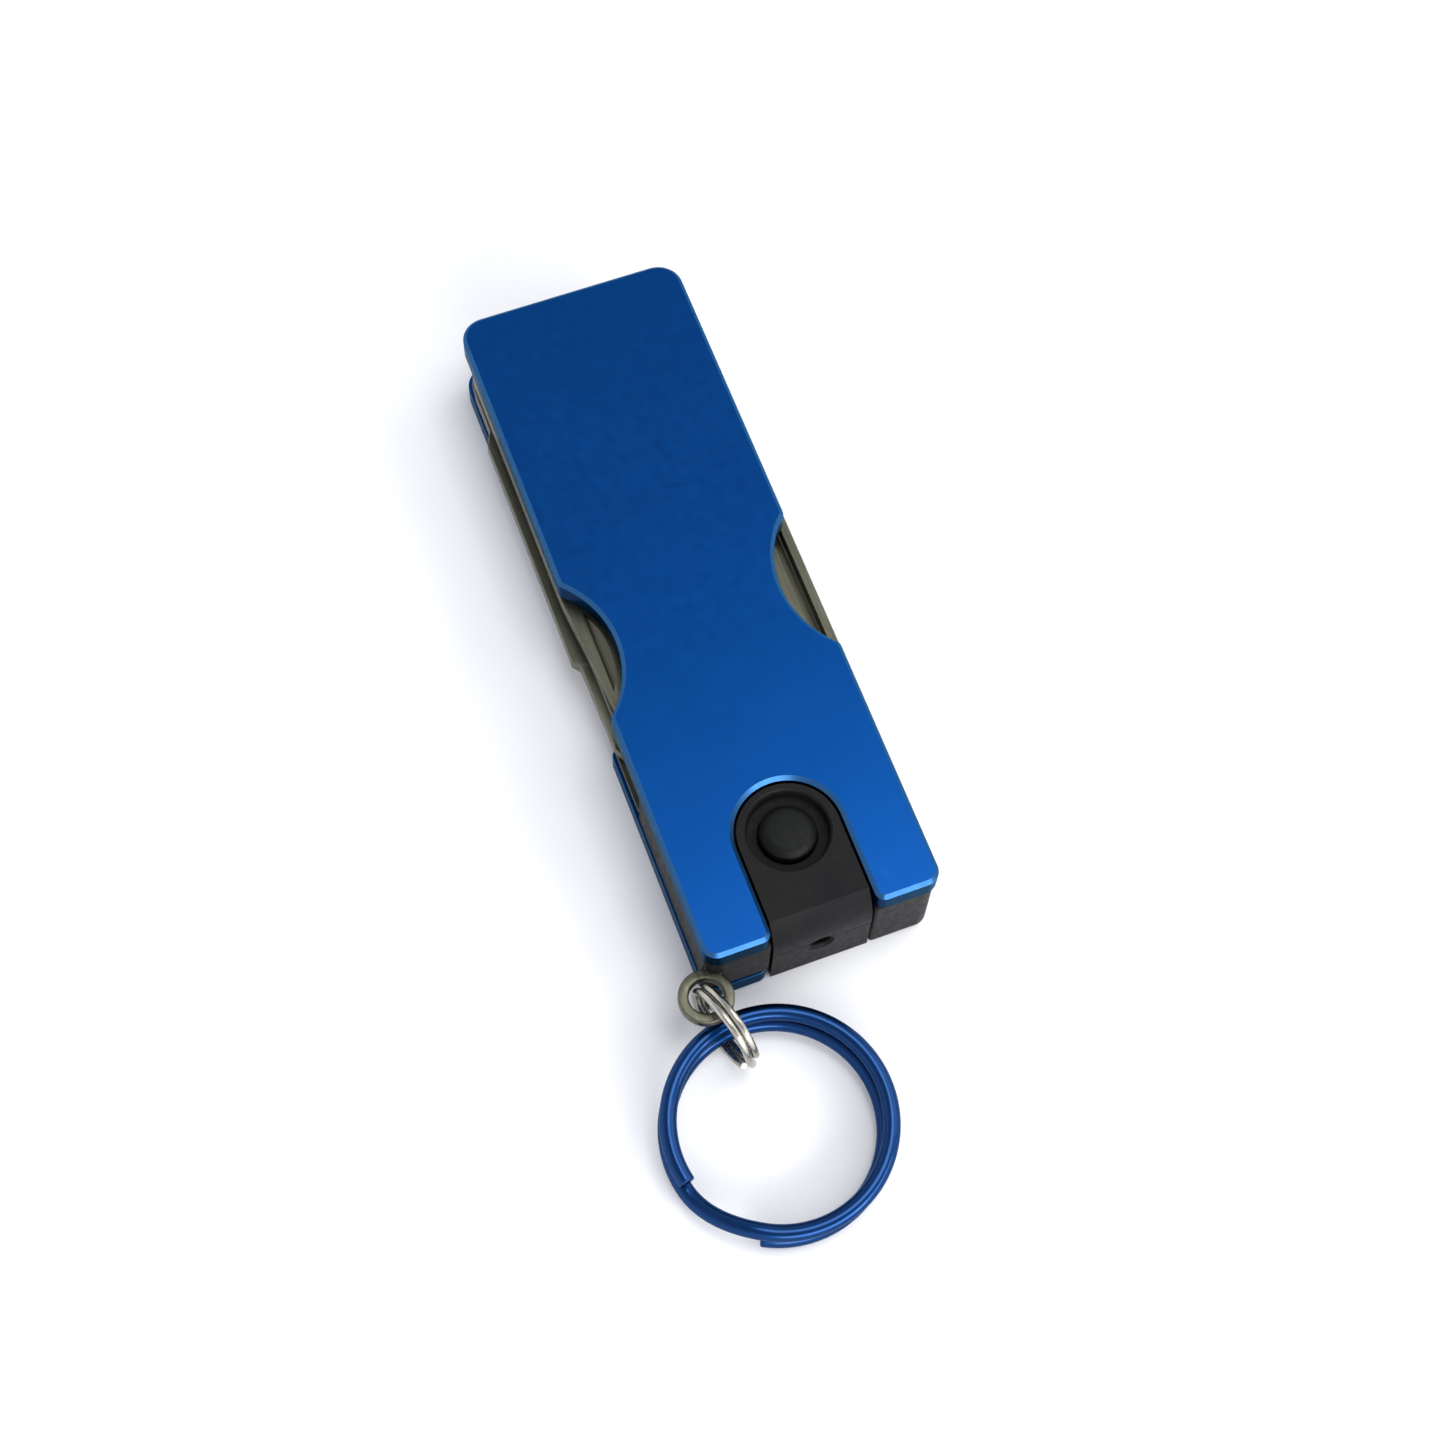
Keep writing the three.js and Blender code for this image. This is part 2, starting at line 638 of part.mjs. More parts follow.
function pushButton() {
  const flangeTop = BUTTON_FLANGE_Z + 0.5;
  const crownStart = BUTTON_TOP - 0.75;
  const profile = [
    [0, BUTTON_FLANGE_Z],
    [BUTTON_FLANGE_RADIUS, BUTTON_FLANGE_Z],
    [BUTTON_FLANGE_RADIUS, flangeTop],
    [BUTTON_RADIUS, flangeTop],
    [BUTTON_RADIUS, crownStart],
    [BUTTON_RADIUS * 0.93, BUTTON_TOP - 0.32],
    [BUTTON_RADIUS * 0.72, BUTTON_TOP - 0.08],
    [0, BUTTON_TOP],
  ].map(([radius, height]) => new THREE.Vector2(radius, height));
  return new THREE.LatheGeometry(profile, ROUND_SEGMENTS).rotateX(Math.PI / 2).translate(0, MODULE_Y, 0);
}

// ---- rings -------------------------------------------------------------------------------

// A wire wound almost twice. It starts in the upper turn, and crosses to the lower one
// between the two cut ends. Angles run clockwise seen from +Z. growth and shift are how
// much wider the upper turn is and where its middle lies, against the lower turn.
class SplitRingCurve extends THREE.Curve {
  constructor({ startAngle, gapAngle, radius, rise, growth, shift }) {
    super();
    Object.assign(this, { startAngle, gapAngle, radius, rise, growth, shift });
  }

  getPoint(t, target = new THREE.Vector3()) {
    const turn = 2 * Math.PI;
    const travelled = t * (2 * turn - this.gapAngle);
    const crossed = THREE.MathUtils.smoothstep(travelled, turn - this.gapAngle, turn);
    const upward = 0.5 - crossed;
    const angle = this.startAngle - travelled;
    const radius = this.radius + this.growth * upward;
    const x = radius * Math.cos(angle) + this.shift.x * upward;
    const y = radius * Math.sin(angle) + this.shift.y * upward;
    return target.set(x, y, this.rise * upward);
  }
}

function wireAlong(curve, wire, steps) {
  const sides = 8;
  const section = new THREE.Shape(Array.from({ length: sides }, (_, side) => {
    const angle = 2 * Math.PI * side / sides;
    return new THREE.Vector2(wire / 2 * Math.cos(angle), wire / 2 * Math.sin(angle));
  }));
  return new THREE.ExtrudeGeometry(section, { steps, bevelEnabled: false, extrudePath: curve });
}

function linkRing() {
  const curve = new SplitRingCurve({
    startAngle: THREE.MathUtils.degToRad(LINK_START),
    gapAngle: THREE.MathUtils.degToRad(LINK_GAP),
    radius: LINK_RADIUS,
    rise: LINK_WIRE + 0.02,
    growth: 0,
    shift: new THREE.Vector2(),
  });
  const drop = MIDDLE - LINK_CENTRE_Z;
  const ahead = Math.sqrt(LINK_RADIUS ** 2 - drop ** 2) - LINK_SEAT;
  const centre = LUG.clone().addScaledVector(LINK_HEADING, ahead);
  const across = new THREE.Vector3(LINK_HEADING.y, -LINK_HEADING.x, 0);
  const standing = new THREE.Matrix4().makeBasis(
    new THREE.Vector3(LINK_HEADING.x, LINK_HEADING.y, 0),
    new THREE.Vector3(0, 0, 1),
    across,
  );
  return wireAlong(curve, LINK_WIRE, 56).applyMatrix4(standing).translate(centre.x, centre.y, LINK_CENTRE_Z);
}

// The key ring leans on the link ring's wire, so its side towards the lug is a little raised.
function keyRing() {
  const curve = new SplitRingCurve({
    startAngle: THREE.MathUtils.degToRad(KEY_START),
    gapAngle: THREE.MathUtils.degToRad(KEY_GAP),
    radius: KEY_RADIUS,
    rise: KEY_RISE,
    growth: KEY_GROWTH,
    shift: KEY_SHIFT,
  });
  const reach = KEY_RADIUS + (KEY_WIRE + KEY_SHIFT.length()) / 2;
  const tilt = Math.asin(KEY_LIFT / (2 * reach));
  const towardsLug = Math.atan2(LUG.y - KEY_CENTRE.y, LUG.x - KEY_CENTRE.x);
  const axis = new THREE.Vector3(Math.sin(towardsLug), -Math.cos(towardsLug), 0);
  const lean = new THREE.Matrix4().makeRotationAxis(axis, tilt);
  const lowest = (KEY_RISE + KEY_WIRE) / 2 * Math.cos(tilt) + reach * Math.sin(tilt) + 0.02;
  return wireAlong(curve, KEY_WIRE, 92).applyMatrix4(lean).translate(KEY_CENTRE.x, KEY_CENTRE.y, lowest);
}

// ---- assembly -------------------------------------------------------------------------------

const group = new THREE.Group();

function add(name, geometry, finish) {
  const mesh = new THREE.Mesh(geometry, finish);
  mesh.name = name;
  group.add(mesh);
}

add('top_scale', upperScale(), blueAnodised());
add('bottom_scale', lowerScale(), blueAnodised());
add('upper_liner', liner(UPPER_LINER_Z), steel());
add('lower_liner', liner(LOWER_LINER_Z), steel());
add('centre_plate', centrePlate(), steel());
add('upper_back_spring', backSpring(UPPER_TOOL_Z), steel());
add('lower_back_spring', backSpring(LOWER_TOOL_Z), steel());
add('pivot_pin_left', pin(-PIVOT_X, PIVOT_Y, PIVOT_RADIUS), brightSteel());
add('pivot_pin_right', pin(PIVOT_X, PIVOT_Y, PIVOT_RADIUS), brightSteel());
add('spring_pin', pin(0, SPRING_PIN_Y, SMALL_PIN_RADIUS), brightSteel());
add('block_pin_left', pin(-BLOCK_PIN_X, BLOCK_PIN_Y, SMALL_PIN_RADIUS), brightSteel());
add('block_pin_right', pin(BLOCK_PIN_X, BLOCK_PIN_Y, SMALL_PIN_RADIUS), brightSteel());
add('side_block_left', sideBlock(-1), blackPlastic());
add('side_block_right', sideBlock(1), blackPlastic());
add('pod_upper_shell', podUpper(), blackPlastic());
add('pod_lower_shell', podLower(), blackPlastic());
add('battery_cap', batteryCap(), blackPlastic());
add('lower_contact', lowerContact(), brass());
add('button_cell_lower', cell(CELL_BOTTOM), brightSteel());
add('button_cell_upper', cell(CELL_BOTTOM + CELL_HEIGHT + SEAT_GAP), brightSteel());
add('contact_dome', contactDome(CELL_BOTTOM + 2 * (CELL_HEIGHT + SEAT_GAP)), brass());
add('led', led(), clearLens());
add('led_lead_upper', ledLead(1, UPPER_LEAD_END), brightSteel());
add('led_lead_lower', ledLead(-1, CELL_BOTTOM + SEAT_GAP), brightSteel());
add('push_button', pushButton(), blackRubber());
add('knife_blade', knife(), steel());
add('bottle_opener', bottleOpener(), steel());
add('nail_file', nailFile(), steel());
add('cross_driver', crossDriver(), steel());
add('link_ring', linkRing(), brightSteel());
add('key_ring', keyRing(), blueWire());

export default group;
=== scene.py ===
# Looks for a pocket multi-tool with an LED light: detailed pieces over the CAD frame, with
# procedural materials, a pale floor and soft studio light. Lengths here are millimetres,
# turned into metres by MM when a mesh is made.
import json
import math

import bmesh
import bpy
from mathutils import Matrix, Vector
from mathutils.geometry import tessellate_polygon


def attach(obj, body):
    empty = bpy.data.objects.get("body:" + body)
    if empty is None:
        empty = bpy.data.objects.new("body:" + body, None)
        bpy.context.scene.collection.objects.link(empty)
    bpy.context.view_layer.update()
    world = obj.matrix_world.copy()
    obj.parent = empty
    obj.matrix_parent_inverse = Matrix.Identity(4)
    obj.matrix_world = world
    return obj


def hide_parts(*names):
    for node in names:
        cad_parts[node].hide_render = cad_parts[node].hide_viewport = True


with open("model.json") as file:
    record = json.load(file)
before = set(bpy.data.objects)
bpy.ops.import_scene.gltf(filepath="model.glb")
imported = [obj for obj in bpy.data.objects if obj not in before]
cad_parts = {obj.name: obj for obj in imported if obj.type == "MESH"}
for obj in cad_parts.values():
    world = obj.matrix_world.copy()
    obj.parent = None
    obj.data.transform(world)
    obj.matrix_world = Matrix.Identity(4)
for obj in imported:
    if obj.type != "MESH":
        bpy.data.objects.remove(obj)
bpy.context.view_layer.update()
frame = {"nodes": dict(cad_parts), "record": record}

MM = 0.001

# ---- dimensions, the same as the CAD part's --------------------------------------------

HALF_WIDTH, HALF_LENGTH, HEIGHT = 11.0, 34.0, 11.0
SCALE_THICKNESS = 2.4
FAR_CORNER, NEAR_CORNER, TAB_CORNER = 2.4, 1.4, 0.9
MODULE_Y, U_CENTRE_Y, U_RADIUS = -24.94, -25.2, 4.9
SHORT_TAB_Y = -31.25
NOTCH_Y, NOTCH_HALF_CHORD, NOTCH_DEPTH = -2.6, 7.0, 3.0
NOTCH_RADIUS = (NOTCH_HALF_CHORD ** 2 + NOTCH_DEPTH ** 2) / (2 * NOTCH_DEPTH)
NOTCH_CENTRE = HALF_WIDTH - NOTCH_DEPTH + NOTCH_RADIUS
LOWER_LINER, UPPER_LINER, LINER_THICKNESS, LINER_INSET = 2.45, 8.05, 0.5, 0.3
LOWER_TOOL, UPPER_TOOL, TOOL_THICKNESS = 3.15, 6.25, 1.6
PLATE_BOTTOM, PLATE_TOP, PLATE_LEFT, PLATE_RIGHT = 4.95, 6.05, -10.2, 10.9
PIVOT_X, PIVOT_Y, PIVOT_RADIUS = 6.7, 29.5, 1.25
BLOCK_PIN_X, BLOCK_PIN_Y, SMALL_PIN = 8.0, -25.0, 1.0
SPRING_PIN_Y = -13.0
PIN_CLEARANCE, PLATE_CLEARANCE, REST_GAP = 0.05, 0.12, 0.02
TANG = 4.2
SPREAD = 11.6
BAY_NEAR = -15.9
POD_HALF, POD_FRONT, POD_BACK, POD_LOW, POD_HIGH = 4.65, -33.9, -16.3, 0.2, 10.6
SPLIT_LOW, SPLIT_HIGH = 5.475, 5.525
CAVITY_RADIUS, CAVITY_TOP, CELL_FLOOR = 3.55, 8.3, 1.05
RIDGE_Y, NOSE_Z = -32.4, 6.3
LED_Z, LED_RADIUS, LED_BACK, LED_FRONT = 4.7, 1.5, -29.5, -33.35
BLOCK_INNER, BLOCK_OUTER, BLOCK_FRONT, BLOCK_CORNER = 4.85, 10.85, -33.9, 1.5
BLOCK_BOTTOM, BLOCK_TOP, BLOCK_EDGE, FOOT_BOTTOM = 2.45, 8.55, 0.31, 0.2
LUG_X, LUG_Y, LUG_RADIUS, LUG_HOLE, LUG_ARC_END = -11.45, -35.35, 2.5, 1.55, 396
LINK_RADIUS, LINK_WIRE, LINK_SEAT, LINK_START, LINK_GAP = 3.95, 0.7, 0.92, -35, 50
LINK_HEADING = Vector((0.28, -0.96)).normalized()
KEY_X, KEY_Y, KEY_RADIUS, KEY_WIRE, KEY_RISE, KEY_LIFT = -9.2, -47.3, 9.62, 1.6, 1.63, 0.95
KEY_GROWTH, KEY_SHIFT, KEY_START, KEY_GAP = 0.15, Vector((0.35, 0.24)), 194, 47
KEY_WIRE_INSET = 0.03

# ---- edge finish of the detailed pieces --------------------------------------------------

SCALE_BEVEL, SCALE_INNER_TOP, SCALE_INNER_BOTTOM = 0.36, 0.1, 0.04
MOULDED_ROUND, HOUSING_ROUND, SPLIT_ROUND = 0.3, 0.16, 0.06
FINE_SIDES = 96

# ---- outlines ----------------------------------------------------------------------------


def arc(cx, cy, radius, start, end, step=5.0):
    """Points on an arc, angles in degrees."""
    count = max(2, math.ceil(abs(end - start) / step))
    angles = [math.radians(start + (end - start) * i / count) for i in range(count + 1)]
    return [(cx + radius * math.cos(a), cy + radius * math.sin(a)) for a in angles]


def circle(cx, cy, radius, count=48):
    return arc(cx, cy, radius, 0, 360 - 360 / count, 360 / count)


def plain(points):
    return [(x, y, 0) for x, y in points]


def rounded(corners, step=9.0):
    """The outline with each (x, y, radius) corner replaced by an arc."""
    points = []
    for i, (x, y, radius) in enumerate(corners):
        here = Vector((x, y))
        back = (Vector(corners[i - 1][:2]) - here).normalized()
        ahead = (Vector(corners[(i + 1) % len(corners)][:2]) - here).normalized()
        half = back.angle(ahead) / 2
        if not radius or half > math.radians(89.5):
            points.append((x, y))
            continue
        centre = here + (back + ahead).normalized() * (radius / math.sin(half))
        first = here + back * (radius / math.tan(half)) - centre
        start = math.degrees(math.atan2(first.y, first.x))
        turn = 180 - 2 * math.degrees(half)
        left = back.x * ahead.y - back.y * ahead.x > 0
        points += arc(centre.x, centre.y, radius, start, start - turn if left else start + turn, step)
    return points


def flipped(corners):
    return [(-x, y, radius) for x, y, radius in reversed(corners)]


def notch(side, half_width, radius, corner):
    """The thumb notch as corners, in the order an anticlockwise outline meets it."""
    reach = math.degrees(math.acos((NOTCH_CENTRE - half_width) / radius))
    facing = 0 if side < 0 else 180
    points = arc(side * NOTCH_CENTRE, NOTCH_Y, radius, facing + reach, facing - reach)
    return [(*points[0], corner), *plain(points[1:-1]), (*points[-1], corner)]


def scale_outline(right_tab=-HALF_LENGTH):
    return rounded([
        (HALF_WIDTH, HALF_LENGTH, FAR_CORNER),
        (-HALF_WIDTH, HALF_LENGTH, FAR_CORNER),
        *notch(-1, HALF_WIDTH, NOTCH_RADIUS, 0.8),
        (-HALF_WIDTH, -HALF_LENGTH, NEAR_CORNER),
        (-U_RADIUS, -HALF_LENGTH, TAB_CORNER),
        *plain(arc(0, U_CENTRE_Y, U_RADIUS, 180, 0)),
        (U_RADIUS, right_tab, TAB_CORNER),
        (HALF_WIDTH, right_tab, NEAR_CORNER),
        *notch(1, HALF_WIDTH, NOTCH_RADIUS, 0.8),
    ])


# ---- meshes ------------------------------------------------------------------------------


def new_object(name, bm):
    mesh = bpy.data.meshes.new(name)
    bmesh.ops.recalc_face_normals(bm, faces=bm.faces)
    bm.to_mesh(mesh)
    bm.free()
    obj = bpy.data.objects.new(name, mesh)
    bpy.context.scene.collection.objects.link(obj)
    return obj


def edge_profile(low, high, bottom, top, steps):
    """(inset, z) pairs from the bottom face's rim to the top face's rim."""
    rings = []
    for i in range(steps + 1):
        turn = math.pi / 2 * i / steps
        rings.append((bottom * (1 - math.sin(turn)), low + bottom * (1 - math.cos(turn))))
    for i in range(steps + 1):
        turn = math.pi / 2 * i / steps
        rings.append((top * (1 - math.cos(turn)), high - top * (1 - math.sin(turn))))
    return rings


def inset_loop(loop, distance):
    """The loop moved to its left by a distance, mitred."""
    moved = []
    for i, point in enumerate(loop):
        here = Vector(point)
        a = (here - Vector(loop[i - 1])).normalized()
        b = (Vector(loop[(i + 1) % len(loop)]) - here).normalized()
        middle = Vector((-a.y - b.y, a.x + b.x))
        if middle.length < 1e-9:
            middle = Vector((-a.y, a.x))
        middle.normalize()
        cosine = max(0.5, middle.dot(Vector((-a.y, a.x))))
        moved.append(here + middle * (distance / cosine))
    return moved


def prism(name, outline, low, high, holes=(), bottom=0.08, top=0.08, steps=3):
    """A plate with rounded rims. The outline runs anticlockwise, and each hole clockwise."""
    bm = bmesh.new()
    loops = [list(outline)] + [list(reversed(hole)) for hole in holes]
    rims = {0: [], -1: []}
    for loop in loops:
        rings = []
        for inset, z in edge_profile(low, high, bottom, top, steps):
            points = inset_loop(loop, inset)
            rings.append([bm.verts.new((p.x * MM, p.y * MM, z * MM)) for p in points])
        for lower, upper in zip(rings, rings[1:]):
            for i in range(len(loop)):
                bm.faces.new((lower[i - 1], lower[i], upper[i], upper[i - 1]))
        rims[0].append(rings[0])
        rims[-1].append(rings[-1])
    for rim in rims.values():
        verts = [v for ring in rim for v in ring]
        for a, b, c in tessellate_polygon([[v.co.copy() for v in ring] for ring in rim]):
            if len({a, b, c}) == 3:
                bm.faces.new((verts[a], verts[b], verts[c]))
    return new_object(name, bm)


def lathe(name, profile, x=0.0, y=0.0, sides=64, along_y=None):
    """A profile of (radius, height) turned about +Z at (x, y), or about +Y at x and z = along_y."""
    bm = bmesh.new()
    rings = []
    for radius, height in profile:
        if radius < 1e-6:
            rings.append([bm.verts.new((0, 0, height))])
            continue
        rings.append([
            bm.verts.new((radius * math.cos(a), radius * math.sin(a), height))
            for a in (2 * math.pi * i / sides for i in range(sides))
        ])
    for lower, upper in zip(rings, rings[1:]):
        for i in range(sides):
            if len(lower) == 1:
                around = (lower[0], upper[i], upper[i - 1])
            elif len(upper) == 1:
                around = (lower[i - 1], lower[i], upper[0])
            else:
                around = (lower[i - 1], lower[i], upper[i], upper[i - 1])
            bm.faces.new(around)
    if along_y is None:
        move = Matrix.Translation((x, y, 0))
    else:
        move = Matrix.Translation((x, 0, along_y)) @ Matrix.Rotation(-math.pi / 2, 4, "X")
    bm.transform(Matrix.Scale(MM, 4) @ move)
    return new_object(name, bm)


def round_profile(points, radii, steps=5):
    """A lathe profile with its inner corners rounded, as (radius, height) pairs."""
    result = [points[0]]
    for i in range(1, len(points) - 1):
        here = Vector(points[i])
        back = (Vector(points[i - 1]) - here).normalized()
        ahead = (Vector(points[i + 1]) - here).normalized()
        if not radii[i]:
            result.append(points[i])
            continue
        half = back.angle(ahead) / 2
        centre = here + (back + ahead).normalized() * (radii[i] / math.sin(half))
        first = here + back * (radii[i] / math.tan(half)) - centre
        last = here + ahead * (radii[i] / math.tan(half)) - centre
        turn = first.angle_signed(last)
        for s in range(steps + 1):
            spun = first.copy()
            spun.rotate(Matrix.Rotation(-turn * s / steps, 2))
            result.append(tuple(centre + spun))
    result.append(points[-1])
    return result


def tube(name, points, radius, sides=20, end_round=0.25):
    """A wire along points, with softly rounded cut ends."""
    path = [Vector(p) for p in points]
    bm = bmesh.new()
    last = len(path) - 1
    tangents = [(path[min(i + 1, last)] - path[max(i - 1, 0)]).normalized() for i in range(last + 1)]
    normal = tangents[0].orthogonal().normalized()
    stations = []
    for i, (point, tangent) in enumerate(zip(path, tangents)):
        if i:
            normal = (tangents[i - 1].rotation_difference(tangent) @ normal).normalized()
        stations.append((point, tangent, normal.copy()))
    rings = []
    ends = [(end_round * radius * (1 - math.cos(t)), 1 - end_round * (1 - math.sin(t)))
            for t in (0.0, 0.5, 1.0, math.pi / 2)]
    for i, (point, tangent, across) in enumerate(stations):
        sizes = [(0.0, 1.0)]
        if i == 0:
            sizes = ends
        if i == last:
            sizes = [(-shift, factor) for shift, factor in reversed(ends)]
        for shift, factor in sizes:
            other = tangent.cross(across)
            ring = []
            for k in range(sides):
                a = 2 * math.pi * k / sides
                p = point + tangent * shift + (across * math.cos(a) + other * math.sin(a)) * radius * factor
                ring.append(bm.verts.new(p * MM))
            rings.append(ring)
    for lower, upper in zip(rings, rings[1:]):
        for k in range(sides):
            bm.faces.new((lower[k - 1], lower[k], upper[k], upper[k - 1]))
    bm.faces.new(rings[0])
    bm.faces.new(rings[-1])
    return new_object(name, bm)


def block(name, x0, x1, y0, y1, z0, z1):
    bm = bmesh.new()
    bmesh.ops.create_cube(bm, size=1)
    size = Matrix.Diagonal(((x1 - x0) * MM, (y1 - y0) * MM, (z1 - z0) * MM, 1))
    middle = Matrix.Translation(((x0 + x1) / 2 * MM, (y0 + y1) / 2 * MM, (z0 + z1) / 2 * MM))
    bm.transform(middle @ size)
    return new_object(name, bm)


def settle(obj):
    """Applies the object's modifiers to its mesh."""
    depsgraph = bpy.context.evaluated_depsgraph_get()
    mesh = bpy.data.meshes.new_from_object(obj.evaluated_get(depsgraph))
    obj.modifiers.clear()
    old = obj.data
    obj.data = mesh
    bpy.data.meshes.remove(old)
    return obj


def combine(obj, others, operation):
    for other in others:
        modifier = obj.modifiers.new("boolean", "BOOLEAN")
        modifier.operation = operation
        modifier.solver = "EXACT"
        modifier.object = other
    settle(obj)
    for other in others:
        bpy.data.objects.remove(other, do_unlink=True)
    return obj


def cut(obj, *cutters):
    return combine(obj, cutters, "DIFFERENCE")


def keep(obj, body, slot, *nodes, sharp=40):
    """Shades a finished piece, gives it its slot's material, and ties it to its body."""
    bm = bmesh.new()
    bm.from_mesh(obj.data)
    bmesh.ops.remove_doubles(bm, verts=bm.verts, dist=1e-7)
    bmesh.ops.dissolve_degenerate(bm, edges=bm.edges, dist=1e-7)
    bmesh.ops.recalc_face_normals(bm, faces=bm.faces)
    bm.to_mesh(obj.data)
    bm.free()
    obj.data.shade_smooth()
    obj.data.set_sharp_from_angle(angle=math.radians(sharp))
    modifier = obj.modifiers.new("normals", "WEIGHTED_NORMAL")
    modifier.keep_sharp = True
    obj.data.materials.clear()
    obj.data.materials.append(finishes[slot])
    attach(obj, body)
    if nodes:
        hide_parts(*nodes)
    return obj


# ---- materials ---------------------------------------------------------------------------


class Finish:
    """A node material on one Principled shader, with helpers for the detail on its sockets."""

    def __init__(self, name, color, roughness, metallic=0.0, **sockets):
        self.material = bpy.data.materials.new(name)
        self.material.use_nodes = True
        self.tree = self.material.node_tree
        self.shader = self.tree.nodes["Principled BSDF"]
        self.place = self.tree.nodes.new("ShaderNodeTexCoord").outputs["Object"]
        self.set("Base Color", (*color, 1))
        self.set("Roughness", roughness)
        self.set("Metallic", metallic)
        for socket, value in sockets.items():
            self.set(socket.replace("_", " "), value)

    def set(self, socket, value):
        self.shader.inputs[socket].default_value = value

    def node(self, kind, inputs=None, **settings):
        node = self.tree.nodes.new(kind)
        for key, value in settings.items():
            setattr(node, key, value)
        for key, value in (inputs or {}).items():
            if isinstance(value, bpy.types.NodeSocket):
                self.tree.links.new(value, node.inputs[key])
            else:
                node.inputs[key].default_value = value
        return node

    def noise(self, per_metre, detail=3.0, rough=0.5, seed=0.0):
        """Noise from 0 to 1. per_metre is a number, or three for a stretched grain."""
        stretch = per_metre if isinstance(per_metre, tuple) else (per_metre,) * 3
        mapping = self.node("ShaderNodeMapping", {"Vector": self.place, "Scale": stretch,
                                                  "Location": (seed, seed * 0.7, seed * 1.3)})
        texture = self.node("ShaderNodeTexNoise", {"Vector": mapping.outputs[0], "Scale": 1.0,
                                                   "Detail": detail, "Roughness": rough})
        return texture.outputs["Fac"]

    def ramp(self, factor, low, high, start=0.3, end=0.7):
        """factor from start to end, mapped to low to high."""
        mapped = self.node("ShaderNodeMapRange", {"Value": factor, "From Min": start, "From Max": end,
                                                  "To Min": low, "To Max": high})
        return mapped.outputs[0]

    def roughness(self, factor, low, high, start=0.3, end=0.7):
        self.tree.links.new(self.ramp(factor, low, high, start, end), self.shader.inputs["Roughness"])

    def tint(self, factor, first, second, start=0.3, end=0.7):
        """Base colour between two colours, along the factor. Either may be a colour socket."""
        ends = [c if isinstance(c, bpy.types.NodeSocket) else (*c, 1) for c in (first, second)]
        inputs = {0: self.ramp(factor, 0, 1, start, end), 6: ends[0], 7: ends[1]}
        mixed = self.node("ShaderNodeMix", inputs, data_type="RGBA").outputs[2]
        self.tree.links.new(mixed, self.shader.inputs["Base Color"])
        return mixed

    def bump(self, *heights):
        """Stacked bumps of (factor, depth in millimetres)."""
        normal = None
        for factor, depth in heights:
            inputs = {"Height": factor, "Distance": depth * MM, "Strength": 1.0}
            if normal:
                inputs["Normal"] = normal
            normal = self.node("ShaderNodeBump", inputs).outputs[0]
        self.tree.links.new(normal, self.shader.inputs["Normal"])


def blue_anodised():
    """Blue metal with painted light, chosen by which way a face points: a painted highlight makes the bevels
    paler, and painted shade makes the upright walls darker.
    """
    f = Finish("blue_anodised", (0.0018, 0.055, 0.24), 0.34, 1.0,
               Specular_Tint=(0.33, 0.52, 0.66, 1), Coat_Weight=0.08, Coat_Roughness=0.2)
    level = f.tint(f.noise(90, 3, 0.5), (0.0017, 0.053, 0.232), (0.0019, 0.057, 0.248))
    normal = f.node("ShaderNodeNewGeometry").outputs["Normal"]
    upward = f.node("ShaderNodeSeparateXYZ", {0: normal}).outputs[2]
    flatness = f.node("ShaderNodeMath", {0: upward}, operation="ABSOLUTE").outputs[0]
    # Painted shade: upright walls, which face sideways, get a darker blue.
    walls_painted_shade = f.tint(flatness, (0.0014, 0.021, 0.062), level, 0.15, 0.55)
    # Mask for the painted highlight: faces tilted between wall and top, that is the bevels.
    past_wall = f.ramp(flatness, 0, 1, 0.35, 0.6)
    before_level = f.ramp(flatness, 1, 0, 0.85, 0.98)
    bevel_painted_highlight = f.node("ShaderNodeMath", {0: past_wall, 1: before_level}, operation="MULTIPLY").outputs[0]
    # Painted highlight: the bevels get a paler blue.
    f.tint(bevel_painted_highlight, walls_painted_shade, (0.02, 0.085, 0.21), 0, 1)
    f.roughness(f.noise(900, 5, 0.6, 3.0), 0.3, 0.39)
    f.bump((f.noise(9000, 3, 0.6, 1.0), 0.004), (f.noise(260, 2, 0.5, 5.0), 0.006))
    return f.material


def tool_steel():
    f = Finish("tool_steel", (0.145, 0.142, 0.106), 0.38, 1.0)
    f.tint(f.noise((3500, 160, 3500), 4, 0.6), (0.1, 0.098, 0.07), (0.155, 0.153, 0.115))
    f.roughness(f.noise((7000, 220, 7000), 4, 0.65, 2.0), 0.3, 0.48)
    f.bump((f.noise((14000, 420, 14000), 3, 0.6, 4.0), 0.004))
    return f.material


def bright_steel():
    f = Finish("bright_steel", (0.42, 0.4, 0.35), 0.22, 1.0)
    f.tint(f.noise(700, 4, 0.6), (0.36, 0.34, 0.29), (0.48, 0.46, 0.41))
    f.roughness(f.noise(2600, 4, 0.6, 2.0), 0.18, 0.3)
    f.bump((f.noise(5200, 2, 0.5, 6.0), 0.0015))
    return f.material


def blue_wire():
    f = Finish("blue_wire", (0.002, 0.033, 0.13), 0.3, 1.0, Specular_Tint=(0.32, 0.52, 0.66, 1),
               Coat_Weight=0.25, Coat_Roughness=0.1)
    f.tint(f.noise(260, 3, 0.5), (0.0018, 0.031, 0.123), (0.0022, 0.035, 0.137))
    f.roughness(f.noise(1200, 3, 0.5, 2.0), 0.28, 0.33)
    f.bump((f.noise(900, 2, 0.5, 6.0), 0.0008))
    return f.material


def black_plastic():
    f = Finish("black_plastic", (0.008, 0.0083, 0.009), 0.5, Specular_IOR_Level=0.1)
    f.tint(f.noise(260, 4, 0.6), (0.0065, 0.0068, 0.0078), (0.0102, 0.0096, 0.0096))
    f.roughness(f.noise(1600, 4, 0.6, 2.0), 0.42, 0.6)
    f.bump((f.noise(7500, 3, 0.7, 3.0), 0.008))
    return f.material


